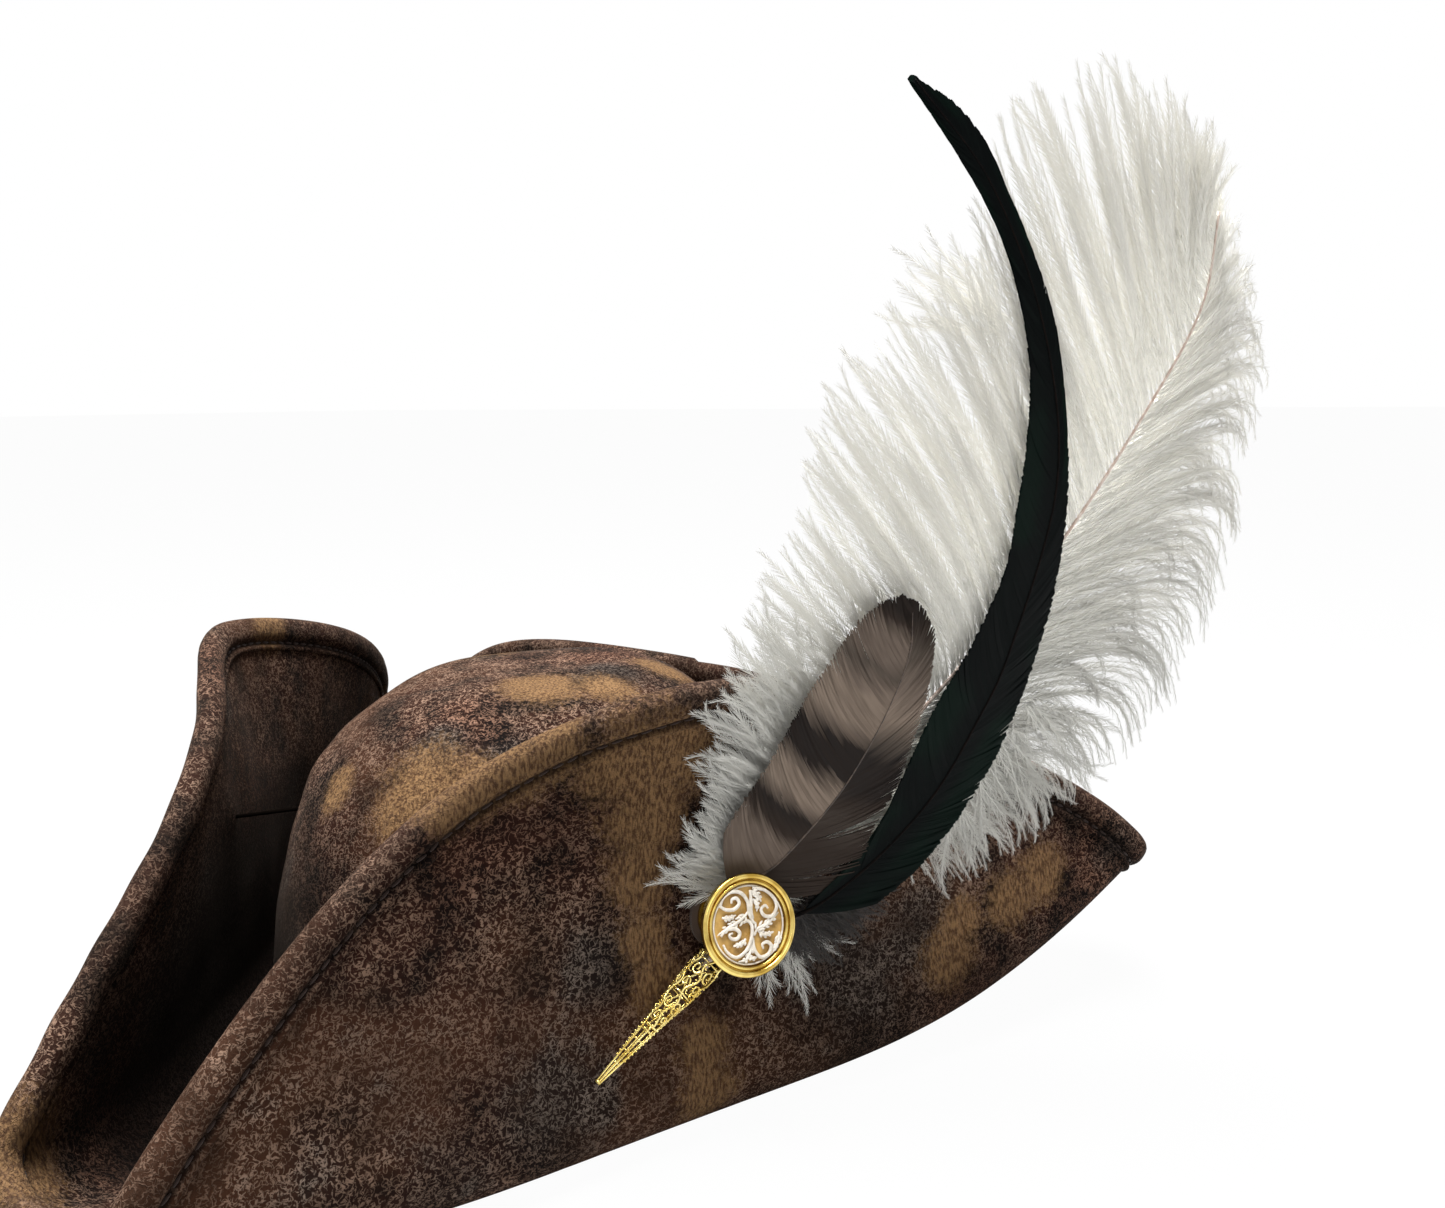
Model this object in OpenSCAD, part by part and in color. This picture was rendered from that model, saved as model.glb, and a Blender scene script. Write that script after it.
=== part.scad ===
// Three-cornered pirate hat with a feather brooch on its left front flap.
// Millimetres, +Z up. The front corner points to -Y and the wearer's left side is +X.
// The origin is the centre of the head opening, on the surface the hat stands on.

/* [Crown] */
// Outside width of the crown at the brim
crown_w = 174; // [164:1:184]
// Outside length of the crown at the brim, front to back
crown_l = 198; // [188:1:208]
// Height of the crown
crown_h = 124; // [116:1:130]
// Share of the height at which the wall starts to turn in, as an exponent
crown_shoulder = 2.7; // [2.2:0.1:3.2]
// Roundness of the turn from wall to top, as an exponent
crown_round = 3.5; // [3:0.1:4]
// Thickness of the crown cloth
crown_t = 1.8; // [1.4:0.1:2.2]
// Thickness of the lining
lining_t = 0.8; // [0.6:0.1:1]
// Height of the lining, from the brim to its top
lining_h = 119; // [112:1:119]
// Height of the sweatband
sweatband_h = 34; // [28:1:40]
// Thickness of the sweatband
sweatband_t = 1.2; // [0.9:0.1:1.5]

/* [Brim] */
// Thickness of each of the two brim layers
brim_t = 1.6; // [1.3:0.1:1.9]
// Brim width at the front corner
front_corner_w = 87; // [80:1:95]
// Brim width at the middle of a front flap
front_flap_w = 147; // [138:1:152]
// Brim width at a back corner
back_corner_w = 126; // [118:1:132]
// Brim width at the middle of the back flap
back_flap_w = 108; // [100:1:112]
// Extra width of the back flap's high spot, to the wearer's right of the middle
back_swell = 16; // [10:1:18]
// Azimuth of the middle of a front flap, from the front
flap_mid = 61; // [58:0.5:64]
// Azimuth of a back corner, from the front
back_corner = 124.5; // [122:0.5:127]
// How fast a front flap's edge falls away from its peak
flap_peak = 0.75; // [0.65:0.05:0.9]

/* [Folds] */
// Distance from the crown to the fold line of a front flap
front_gutter = 14; // [13:0.5:17]
// Distance from the crown to the fold line of the back flap
back_gutter = 13; // [12:0.5:16]
// Radius of the folds
fold_r = 15; // [13:0.5:17]
// Fold angle at the middle of a front flap
front_fold = 104; // [98:1:106]
// Fold angle at the middle of the back flap
back_fold = 95; // [90:1:98]
// Fold angle near the corners
corner_fold = 100; // [94:1:104]
// Outward flare of a front flap, 100 above its fold
flare = 23.5; // [18:0.5:28]
// Rise of the front corner
front_rise = 36; // [28:1:44]
// Rise of the back corners
back_rise = 34; // [26:1:42]

/* [Hem] */
// Depth of the hem strip on each side of the brim
hem_depth = 6; // [4.5:0.5:8]
// Thickness of the hem strip
hem_t = 1; // [0.8:0.1:1.2]
// Diameter of the edge wire
wire_d = 1.8; // [1.4:0.1:2]
// Diameter of the hem thread
thread_d = 0.6; // [0.5:0.05:0.8]

/* [Brooch place] */
// Azimuth of the brooch on the brim, from the front
brooch_azimuth = 65.5; // [62:0.5:69]
// Share of the brim width at which the brooch sits
brooch_share = 0.53; // [0.49:0.01:0.57]
// Angle of the feathers above the flap's level line
spray_angle = 48; // [40:1:56]

/* [Pin] */
// Diameter of the pin post
post_d = 1.2; // [1:0.1:1.4]
// Length of the post behind the flap
post_reach = 9.5; // [9:0.5:11]
// Diameter of the pin plate
plate_d = 18; // [16:0.5:20]
// Thickness of the pin plate
plate_t = 0.8; // [0.6:0.1:1]
// Diameter of the felt pad
pad_d = 22; // [20:0.5:24]
// Thickness of the felt pad
pad_t = 1.2; // [1:0.1:1.4]
// Diameter of the clutch
clutch_d = 9.6; // [8:0.2:11]
// Thickness of the clutch
clutch_t = 3.6; // [3:0.2:4]

/* [Button] */
// Outside diameter of the button
button_d = 29; // [26:0.5:31]
// Height of the button's cup
cup_h = 3; // [2.6:0.1:3.4]
// Width of the button's rim
rim_w = 3.2; // [2.8:0.1:3.6]
// Thickness of the scroll openwork
openwork_t = 1; // [0.8:0.1:1.2]
// Diameter of the shank
shank_d = 2; // [1.6:0.1:2.2]
// Height of the button's back above the flap
button_lift = 12.6; // [12.4:0.1:13.4]
// Turn of the button towards the front
button_turn = 8; // [4:1:9]
// Tilt of the button, so that it looks up a little
button_tilt = 15; // [8:1:16]

/* [Cone] */
// Length of the filigree cone
cone_l = 46; // [42:0.5:50]
// Diameter of the cone at its mouth
cone_d = 9.6; // [9:0.2:10]
// Wall thickness of the cone
cone_t = 0.8; // [0.6:0.1:0.9]
// Turn of the cone away from the feathers' line
cone_turn = 14.5; // [10:0.5:18]

/* [Feathers] */
// Diameter of the plume's quill
plume_quill_d = 2.6; // [2.2:0.1:2.8]
// Diameter of the two smaller quills
small_quill_d = 1.6; // [1.2:0.1:1.7]
// Thickness of the plume's vane
plume_t = 1.6; // [1.2:0.1:2]
// Thickness of the two smaller vanes
vane_t = 0.8; // [0.6:0.1:1]
// Outward curl of the plume's left edge
plume_curl = 5; // [3:0.5:7]
// Outward lean of the feathers from the flap
feather_lean = 19; // [17:0.5:22]

/* [Hidden] */

suede = "#3d2a22";
suede_dark = "#2c1f1b";
lining_black = "#1d1b1c";
gold = "#c9a24a";
pearl = "#efe6d8";
steel = "#8d8f92";

// Grid of the cloth: steps in each of the three arcs between the corners, and steps across the brim
arc_steps = 19;
around = 3 * arc_steps;
across = 10;
// How much closer together the steps are at the corners
corner_crowd = 0.4;
arc_ends = [0, back_corner, 360 - back_corner, 360];
function station(i) =
  let (k = i % around, arc = floor(k / arc_steps), t = k / arc_steps - arc)
    mix(arc_ends[arc], arc_ends[arc + 1], t - corner_crowd * sin(360 * t) / (2 * PI));
// Play between layers of cloth that lie on each other
play = 0.1;
// Gap between the cone's mouth and the binding
room = 0.4;
// Gap between the flap and the clutch
clutch_gap = 0.8;

// Small helpers
function clamp(t) = max(0, min(1, t));
function ease(t) = let (u = clamp(t)) u * u * (3 - 2 * u);
function mix(a, b, t) = a + (b - a) * t;
function unit(v) = v / norm(v);
function wrapped(a) = a - 360 * floor((a + 180) / 360);
function bell(t) = exp(-t * t);

// Two triangles for each cell between neighbouring rings of n points; after the points flipped, cut the other way
function cell_faces(rings, n, closed, flipped) = [
  for (i = [0 : rings - (closed ? 1 : 2)], k = [0 : n - 1])
    let (a = i * n + k, b = i * n + (k + 1) % n, j = (i + 1) % rings, c = j * n + (k + 1) % n, d = j * n + k)
      each (len(search(k, flipped)) == 0 ? [[a, c, b], [a, d, c]] : [[a, d, b], [b, d, c]])
];
// A closed solid through rings that run round the hat and meet themselves.
// All its faces are cut into triangles alike, so that layers lie close.
module hoop(rings, flipped) {
  n = len(rings[0]);
  polyhedron([for (r = rings) each r], cell_faces(len(rings), n, true, flipped));
}
// A closed solid through a row of rings, with a flat cap on each end
module lofted(rings) {
  n = len(rings[0]);
  m = len(rings);
  caps = [[for (k = [0 : n - 1]) k], [for (k = [n - 1 : -1 : 0]) (m - 1) * n + k]];
  polyhedron([for (r = rings) each r], concat(cell_faces(m, n, false, []), caps));
}

// Crown
// Radius of the oval with these half axes, at an azimuth from the front
function oval_r(a, half_w, half_l) = 1 / sqrt(pow(sin(a) / half_w, 2) + pow(cos(a) / half_l, 2));
function oval(a, half_w, half_l) = let (r = oval_r(a, half_w, half_l)) [r * sin(a), -r * cos(a)];
// Share of the base oval at a share u of the height
top_draw = 0.03;
function crown_share(u) = pow(1 - pow(u, crown_shoulder), 1 / crown_round) * (1 - top_draw * u);
// Steps up the dome, closer together near the top
dome_steps = 9;
function dome_u(i) = sin(88 * i / dome_steps);
function dome_ring(i, inset, h) = let (u = dome_u(i), k = crown_share(u)) [
  for (j = [0 : around - 1])
    let (p = oval(station(j), crown_w / 2 - inset, crown_l / 2 - inset))
      [p[0] * k, p[1] * k, h * u]
];
// A domed shell that stands on the plane z = 0
module dome_shell(inset, t, h) {
  m = dome_steps + 1;
  rings = concat(
    [for (i = [0 : dome_steps]) dome_ring(i, inset, h)],
    [for (i = [dome_steps : -1 : 0]) dome_ring(i, inset + t, h - t)]
  );
  n = around;
  walls = [for (f = cell_faces(2 * m, n, true, [])) if (!bridges_top(f, m * n)) f];
  caps = [[for (k = [n - 1 : -1 : 0]) (m - 1) * n + k], [for (k = [0 : n - 1]) m * n + k]];
  polyhedron([for (r = rings) each r], concat(walls, caps));
}
// A face that would join the outer top ring to the inner one
function bridges_top(f, split) =
  let (low = [for (v = f) if (v >= split - around && v < split) 1], high = [for (v = f) if (v >= split && v < split + around) 1])
    len(low) > 0 && len(high) > 0;

lining_inset = crown_t + play;
lining_top = min(lining_h, crown_h - crown_t - 1);
band_inset = lining_inset + lining_t + play;

module crown_shell() {
  color(suede) dome_shell(0, crown_t, crown_h);
}
module crown_lining() {
  color(lining_black) dome_shell(lining_inset, lining_t, lining_top);
}
module oval_plate(inset) {
  polygon([for (j = [0 : around - 1]) oval(station(j), crown_w / 2 - inset, crown_l / 2 - inset)]);
}
// The band stands inside the lining, its lower edge flush with the brim's underside
module sweatband() {
  color(suede_dark) linear_extrude(sweatband_h) difference() {
    oval_plate(band_inset + band_lean);
    oval_plate(band_inset + band_lean + sweatband_t);
  }
}
// The wall draws in towards the top, so the straight band stands this much further in
band_lean = max(crown_w, crown_l) / 2 * (1 - crown_share(sweatband_h / (lining_top - lining_t)));

// Brim: a flat pattern, folded up along three lines, with its corners lifted
function seat_r(a) = oval_r(a, crown_w / 2 + play, crown_l / 2 + play);
swell_azimuth = -152;
swell_spread = 18;
function pattern_r(azimuth) =
  let (a = abs(azimuth))
  let (front = a < back_corner)
  let (t = a < flap_mid ? (flap_mid - a) / flap_mid
         : front ? (a - flap_mid) / (back_corner - flap_mid) : (180 - a) / (180 - back_corner))
  let (fall = pow(sin(90 * pow(clamp(t), front ? flap_peak : 0.95)), 2))
  let (corner = a < flap_mid ? seat_r(0) + front_corner_w : seat_r(back_corner) + back_corner_w)
  let (middle = front ? seat_r(flap_mid) + front_flap_w : seat_r(180) + back_flap_w)
    mix(middle, corner, fall) + back_swell * bell((azimuth - swell_azimuth) / swell_spread);

// Rise of the flat pattern towards the three corners
rise_spread = 38;
rise_start = crown_l / 2 + 1;
function corner_rise(p) =
  let (a = atan2(p[0], -p[1]), reach = pow(max(0, norm(p) / rise_start - 1), 2))
    reach * (front_rise * bell(a / rise_spread)
      + back_rise * bell(wrapped(a - back_corner) / rise_spread)
      + back_rise * bell(wrapped(a + back_corner) / rise_spread));

// Level of the middle of the two layers, so that the underside rests on z = 0
brim_mid_z = brim_t + play / 2;
flare_spread = 64;
fold_end = 190;
// A flat point folded up along the line that lies square to an azimuth
function folded(p, mid, line, bow, angle, out) =
  let (m = [sin(mid), -cos(mid)], t = [cos(mid), sin(mid)])
  let (x = p * t, y = p * m)
  let (turn = mix(angle, corner_fold, pow(clamp(abs(x) / fold_end), 2)))
  let (crease = line + bow * pow(x / 100, 2), arc = fold_r * turn * PI / 180)
  let (start = crease - arc / 2)
  let (e = max(0, y - start), bent = min(e, arc), straight = e - bent)
  let (b = bent / fold_r * 180 / PI)
  let (spread = out * pow(straight / 100, 2) * bell(x / flare_spread))
  let (yy = min(y, start) + fold_r * sin(b) + straight * cos(turn) + spread)
  let (zz = fold_r * (1 - cos(b)) + straight * sin(turn))
  let (q = x * t + yy * m, flat = x * t + min(y, crease) * m)
    [q[0], q[1], brim_mid_z + zz + corner_rise(flat)];

front_bow = 1.5;
back_bow = 7;
// Half the angle over which one flap passes into the next at a corner
corner_blend = 12;
function brim_point(azimuth, share) =
  let (a = wrapped(azimuth))
  let (r = mix(seat_r(a), pattern_r(a), share), p = [r * sin(a), -r * cos(a)])
  let (front_line = seat_r(flap_mid) + front_gutter)
  let (left = folded(p, flap_mid, front_line, front_bow, front_fold, flare))
  let (right = folded(p, -flap_mid, front_line, front_bow, front_fold, flare))
  let (back = folded(p, 180, seat_r(180) + back_gutter, back_bow, back_fold, 0))
  let (front = mix(right, left, ease((a + corner_blend) / (2 * corner_blend))))
    mix(front, back, ease((abs(a) - back_corner + corner_blend) / (2 * corner_blend)));
// The side of the brim that faces up on the flat, and in on a flap
probe = 0.01;
function brim_normal(a, s) =
  s < probe ? [0, 0, 1]
  : let (du = brim_point(a, s) - brim_point(a, s - probe), dv = brim_point(a + 0.5, s) - brim_point(a - 0.5, s))
      unit(cross(dv, du)) * -1;

// Share of the brim width at which the fold at an azimuth starts (end = 0) or ends (end = 1)
function fold_share(azimuth, end) =
  let (a = wrapped(azimuth), front = abs(a) < back_corner)
  let (mid = !front ? 180 : a < 0 ? -flap_mid : flap_mid)
  let (line = front ? seat_r(flap_mid) + front_gutter : seat_r(180) + back_gutter)
  let (r = (line + (end - 0.5) * fold_r * corner_fold * PI / 180) / max(0.2, cos(a - mid)))
    (r - seat_r(a)) / (pattern_r(a) - seat_r(a));
// Steps across the brim: before the fold, round it, and beyond it; the last one is under the hem
flat_steps = 2;
bend_steps = 4;
function share_at(a, j) =
  let (s1 = max(0.04, min(0.55, fold_share(a, 0))), s2 = max(s1 + 0.1, min(0.8, fold_share(a, 1))))
  let (bend_end = flat_steps + bend_steps, hem_share = 1 - (hem_depth - edge_gap) / (pattern_r(wrapped(a)) - seat_r(a)))
    j <= flat_steps ? s1 * j / flat_steps
    : j <= bend_end ? mix(s1, s2, (j - flat_steps) / bend_steps)
    : j < across ? mix(s2, hem_share, (j - bend_end) / (across - 1 - bend_end)) : 1;
function layer_ring(a, low, high) =
  let (share = [for (j = [0 : across]) share_at(a, j)])
  let (p = [for (s = share) brim_point(a, s)], n = [for (s = share) brim_normal(a, s)])
    concat([for (j = [0 : across]) p[j] + low * n[j]], [for (j = [across : -1 : 0]) p[j] + high * n[j]]);
module brim_layer(low, high) {
  hoop([for (i = [0 : around - 1]) layer_ring(station(i), low, high)], [for (k = [across + 1 : 2 * across + 1]) k]);
}
module brim_under() {
  color(suede) difference() {
    brim_layer(-brim_t - play / 2, -play / 2);
    on_flap() post_hole();
  }
}
module brim_upper() {
  color(suede_dark) difference() {
    brim_layer(play / 2, brim_t + play / 2);
    on_flap() post_hole();
  }
}

// Hem: a strip folded round the edge, over the wire, with some play on the layers
hem_play = 0.3;
hem_inner = brim_t + play / 2 + hem_play;
hem_outer = hem_inner + hem_t;
// Outward along the brim and square to it, at the edge
function edge_out(a) = unit(brim_point(a, 1) - brim_point(a, share_at(a, across - 1)));
function edge_up(a) = let (o = edge_out(a), n = brim_normal(a, 1)) unit(n - (n * o) * o);
function edge_at(a, x, y) = brim_point(a, 1) + (x + edge_gap) * edge_out(a) + y * edge_up(a);
// The strip's nose stands this far beyond the cut edge of the two layers
edge_gap = 0.6;
nose = [90, 45, 0, -45, -90];
function hem_ring(a) = concat(
  [edge_at(a, -hem_depth, hem_outer)],
  [for (t = nose) edge_at(a, hem_outer * cos(t), hem_outer * sin(t))],
  [edge_at(a, -hem_depth, -hem_outer), edge_at(a, -hem_depth, -hem_inner)],
  [for (i = [4 : -1 : 0]) edge_at(a, hem_inner * cos(nose[i]), hem_inner * sin(nose[i]))],
  [edge_at(a, -hem_depth, hem_inner)]
);
module brim_hem() {
  color(suede_dark) hoop([for (i = [0 : around - 1]) hem_ring(station(around - i))], [0, 7]);
}
function round_ring(a, x, y, r, sides) = [
  for (k = [0 : sides - 1]) edge_at(a, x + r * cos(k * 360 / sides), y + r * sin(k * 360 / sides))
];
wire_x = hem_inner - wire_d / 2 - play;
module brim_wire() {
  color(steel) hoop([for (i = [0 : around - 1]) round_ring(station(i), wire_x, 0, wire_d / 2, 6)], []);
}
// A line of stitching near the strip's inner edge, on both faces of the brim
stitch_x = 1 - hem_depth;
module hem_thread() {
  color(suede_dark) for (side = [-1, 1])
    hoop([for (i = [0 : around - 1])
      round_ring(station(i), stitch_x, side * (hem_outer + thread_d / 2 + hem_play), thread_d / 2, 4)], []);
}

// Tacks that tie the flaps to the crown: azimuth and share of the brim width
tack_places = [[-49, 0.7], [49, 0.7], [180, 0.55]];
tack_d = 1.2;
tack_play = 0.25;
module flap_tacks() {
  color(suede_dark) for (t = tack_places) tack(t[0], t[1]);
}
module tack(a, s) {
  p = brim_point(a, s) + (brim_t + tack_play) * brim_normal(a, s);
  u = clamp(p[2] / crown_h);
  out = atan2(p[0], -p[1]);
  q = oval(out, crown_w / 2 + play, crown_l / 2 + play) * crown_share(u);
  v = [q[0], q[1], p[2]] - p;
  multmatrix(axes(p, v)) cylinder(h = norm(v), d = tack_d, $fn = 24);
}
// Frame with its z axis along v, at p
function axes(p, v) =
  let (z = unit(v), x = unit(cross(abs(z[2]) > 0.9 ? [1, 0, 0] : [0, 0, 1], z)), y = cross(z, x))
    [[x[0], y[0], z[0], p[0]], [x[1], y[1], z[1], p[1]], [x[2], y[2], z[2], p[2]], [0, 0, 0, 1]];

// Brooch: x along the flap towards the back, y up the flap, z out of it
module on_flap() {
  n = brim_normal(brooch_azimuth, brooch_share) * -1;
  up = unit([0, 0, 1] - n[2] * n);
  side = cross(up, n);
  o = brim_point(brooch_azimuth, brooch_share) + (brim_t + play / 2) * n;
  multmatrix([
    [side[0], up[0], n[0], o[0]],
    [side[1], up[1], n[1], o[1]],
    [side[2], up[2], n[2], o[2]],
    [0, 0, 0, 1]
  ]) children();
}
// x along the feathers, y up and to the front, z out of the flap
module spray() {
  on_flap() rotate([0, 0, spray_angle]) children();
}

flap_t = 2 * brim_t + play;
hole_r = post_d / 2 + 0.05;
pad_z = 1;
plate_z = pad_z + pad_t;
quill_floor = plate_z + plate_t;
module post_hole() {
  translate([0, 0, -3 * flap_t]) cylinder(h = 6 * flap_t, r = hole_r, $fn = 32);
}
module pin_pad() {
  color("#4a3b34") on_flap() translate([0, 0, pad_z]) difference() {
    cylinder(h = pad_t, d = pad_d, $fn = 64);
    translate([0, 0, -1]) cylinder(h = pad_t + 2, r = hole_r, $fn = 32);
  }
}
post_end = -flap_t - post_reach;
post_tip = 1.5;
module pin_base() {
  color(gold) on_flap() rotate_extrude($fn = 64) polygon([
    [0, quill_floor], [plate_d / 2, quill_floor], [plate_d / 2, plate_z],
    [post_d / 2, plate_z], [post_d / 2, post_end + post_tip], [0.15, post_end], [0, post_end]
  ]);
}
clutch_z = -flap_t - clutch_gap;
wing_l = 4;
module pin_clutch() {
  color(gold) on_flap() translate([0, 0, clutch_z - clutch_t]) difference() {
    union() {
      cylinder(h = clutch_t, d = clutch_d, $fn = 48);
      for (s = [-1, 1])
        translate([s * clutch_d / 2, 0, 0]) clutch_wing();
    }
    translate([0, 0, -1]) cylinder(h = clutch_t + 2, r = hole_r, $fn = 32);
  }
}
// The thumb wings that squeeze the clutch's spring
wing_w = 4.6;
wing_t = 1.2;
module clutch_wing() {
  cylinder(h = wing_t, d = wing_w, $fn = 32);
}

// The quills run side by side through a wrapped binding into the cone
bundle_y = -3;
quill_r = plume_quill_d / 2;
small_r = small_quill_d / 2;
quill_gap = 0.3;
quill_z = quill_floor + quill_r + 0.7;
plume_y = bundle_y + 0.3;
coque_y = plume_y - quill_r - small_r - quill_gap;
barred_y = plume_y + quill_r + small_r + quill_gap;
quill_start = -16;
binding_start = -11.4;
binding_end = -6;
quill_end = binding_end + 1.5;
shaft_start = binding_end + 0.3;
module quill(y, r) {
  translate([quill_start, y, quill_z]) rotate([0, 90, 0]) cylinder(h = quill_end - quill_start, r = r, $fn = 24);
}
binding_wall = 0.7;
binding_r = quill_r + binding_wall;
module quill_binding() {
  color("#5b4636") spray() difference() {
    translate([binding_start, 0, 0]) rotate([90, 0, 90]) linear_extrude(binding_end - binding_start) union() {
      translate([plume_y, quill_z]) square([2 * binding_side, 2 * binding_r], center = true);
      for (s = [-1, 1])
        translate([plume_y + s * binding_side, quill_z]) circle(r = binding_r, $fn = 32);
    }
    quill(plume_y, quill_r);
    quill(coque_y, small_r);
    quill(barred_y, small_r);
  }
}
binding_side = quill_r + small_r + quill_gap - 0.4;

// Feather lines: along the spray, across it, and how high each lies above the plume's quill
plume_route = [
  [shaft_start, plume_y, 0], [12, -3.4, 0], [40, -4, 0], [70, -3, 0], [111, 0, 0],
  [143, 5, 0], [178, 15, 0], [205, 26, 0], [222, 44, 0]
];
coque_route = [
  [shaft_start, coque_y, 0], [3, -9.5, 1], [14, -18, 4.4], [40, -26, 4.4], [63, -24, 4.4], [106, -2, 4.4],
  [143, 26, 4.8], [163, 62, 6], [172, 101, 8], [170, 135, 10]
];
barred_route = [
  [shaft_start, barred_y, 0], [0, 3, 0.5], [10, 2.6, 2.6], [20, 0, 4.6], [40, 3, 7.2],
  [54, 7, 8.2], [70, 13, 8.6], [84, 21, 9], [94, 31, 9]
];
// The feathers lean out from the flap beyond the button
lean_start = 14;
function leaned(route) = [
  for (p = route) [p[0], p[1], quill_z + p[2] + tan(feather_lean) * max(0, p[0] - lean_start)]
];
plume_line = leaned(plume_route);
coque_line = leaned(coque_route);
barred_line = leaned(barred_route);
// Half widths of the vanes at the points of their lines, left and right, from the first vaned point on
plume_left = [20, 46, 68, 98, 94, 98, 74, 38];
plume_right = [18, 44, 62, 68, 66, 54, 36, 12];
coque_left_w = [3, 8, 9, 13, 12, 9, 6, 0.6];
coque_right_w = [3, 9, 12, 12, 11, 8, 5, 0.6];
barred_left_w = [14, 18, 18, 17, 13, 4];
barred_right_w = [14, 22, 20, 17, 13, 4];
plume_first = 1;
coque_first = 2;
barred_first = 3;

// Smooth curve through the points of a list, t in steps of its index
function curve(points, t) =
  let (last = len(points) - 1, i = min(last - 1, floor(t)), u = t - i)
  let (b = points[i], c = points[i + 1])
  let (a = i > 0 ? points[i - 1] : 2 * b - c, d = i < last - 1 ? points[i + 2] : 2 * c - b)
    b + u * (0.5 * (c - a) + u * (a - 2.5 * b + 2 * c - 0.5 * d + u * 0.5 * (3 * b - a - 3 * c + d)));
function heading(points, t) =
  let (last = len(points) - 1, u = max(0.01, min(last - 0.01, t)))
    unit(curve(points, u + 0.01) - curve(points, u - 0.01));
// Left of a line in the leaning plane of the feathers, seen from in front of the brooch
spray_normal = [-sin(feather_lean), 0, cos(feather_lean)];
function leftward(points, t) = unit(cross(spray_normal, heading(points, t)));
function outward(points, t) = cross(heading(points, t), leftward(points, t));

// A tapered shaft along a line
shaft_steps = 3;
shaft_sides = 6;
function shaft_r(r, share) = r * mix(0.94, 0.3, share);
module shaft(points, r) {
  last = (len(points) - 1) * shaft_steps;
  lofted([for (i = [0 : last])
    let (t = i / shaft_steps, c = curve(points, t), l = leftward(points, t), o = outward(points, t))
    let (s = shaft_r(r, i / last))
      [for (k = [0 : shaft_sides - 1]) c + s * (cos(k * 360 / shaft_sides) * l + sin(k * 360 / shaft_sides) * o)]]);
}
// A vane that lies against the back of its shaft; its left edge curls out
vane_steps = 3;
function vane_ring(points, first, r, left, right, t, thick, curl) =
  let (share = t / (len(points) - 1), c = curve(points, t), l = leftward(points, t), o = outward(points, t))
  let (wl = max(0.4, curve(left, t - first)), wr = max(0.4, curve(right, t - first)))
  let (drop = shaft_r(r, share) + thick / 2 + 0.02)
  let (stations = [[wl, curl, 0.5], [wl / 2, curl / 4, 1], [0, 0, 1], [-wr / 2, 0, 1], [-wr, 0, 0.5]])
    concat(
      [for (s = stations) c + s[0] * l + (s[1] - drop - s[2] * thick / 2) * o],
      [for (i = [4 : -1 : 0]) let (s = stations[i]) c + s[0] * l + (s[1] - drop + s[2] * thick / 2) * o]
    );
module vane(points, first, r, left, right, thick, curl) {
  last = (len(points) - 1 - first) * vane_steps;
  lofted([for (i = [0 : last])
    vane_ring(points, first, r, left, right, first + i / vane_steps, thick, curl)]);
}
module plume_shaft() {
  color("#d9c4b0") spray() {
    quill(plume_y, quill_r);
    shaft(plume_line, quill_r);
  }
}
module plume_vane() {
  color("#f2efe8") spray()
    vane(plume_line, plume_first, quill_r, plume_left, plume_right, plume_t, plume_curl);
}
module coque_shaft() {
  color("#2a2c2a") spray() {
    quill(coque_y, small_r);
    shaft(coque_line, small_r);
  }
}
module coque_vane() {
  color("#14201c") spray()
    vane(coque_line, coque_first, small_r, coque_left_w, coque_right_w, vane_t, 0);
}
module barred_shaft() {
  color("#6b5a4a") spray() {
    quill(barred_y, small_r);
    shaft(barred_line, small_r);
  }
}
module barred_vane() {
  color("#5d5046") spray()
    vane(barred_line, barred_first, small_r, barred_left_w, barred_right_w, vane_t, 0);
}

// Filigree cone: a pierced hollow cone that caps the ends of the quills
cone_x = binding_start - room - cone_d / 2 * sin(cone_turn);
cone_z = quill_z + 0.6;
cone_tip_r = 1.1;
cone_bulge = 0.35;
function cone_r(u) = mix(cone_d / 2, cone_tip_r, u) + cone_bulge * sin(180 * min(1, u * 2.2));
cone_steps = 6;
cone_hollow = 0.9;
hole_rows = [[0.1, 8, 1], [0.23, 8, 0.85], [0.35, 6, 0.75], [0.46, 6, 0.6]];
slot_from = 0.56;
slot_to = 0.86;
slot_count = 4;
slot_w = 0.9;
module filigree_cone() {
  color(gold) spray() translate([cone_x, bundle_y, cone_z]) rotate([0, -90, -cone_turn]) difference() {
    rotate_extrude($fn = 48) polygon(concat(
      [for (i = [0 : cone_steps]) let (u = i / cone_steps) [cone_r(u), u * cone_l]],
      [[0, cone_l]],
      [[0, cone_hollow * cone_l]],
      [for (i = [cone_steps : -1 : 0]) let (u = cone_hollow * i / cone_steps) [cone_r(u) - cone_t, u * cone_l]]
    ));
    for (row = hole_rows, k = [0 : row[1] - 1])
      rotate([0, 0, (k + 0.5) * 360 / row[1]])
        translate([cone_r(row[0]) / 2, 0, row[0] * cone_l]) rotate([0, 90, 0]) cylinder(h = cone_d, r = row[2], $fn = 24);
    for (k = [0 : slot_count - 1])
      rotate([0, 0, (k + 0.5) * 360 / slot_count])
        translate([0.7, -slot_w / 2, slot_from * cone_l]) cube([cone_d, slot_w, (slot_to - slot_from) * cone_l]);
  }
}

// Button, turned a little towards the front and up; z = 0 is the back of its cup
button_r = button_d / 2;
cup_wall = 0.8;
module button_frame() {
  on_flap() translate([0, 0, button_lift]) rotate([-button_tilt, -button_turn, 0]) children();
}
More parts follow.
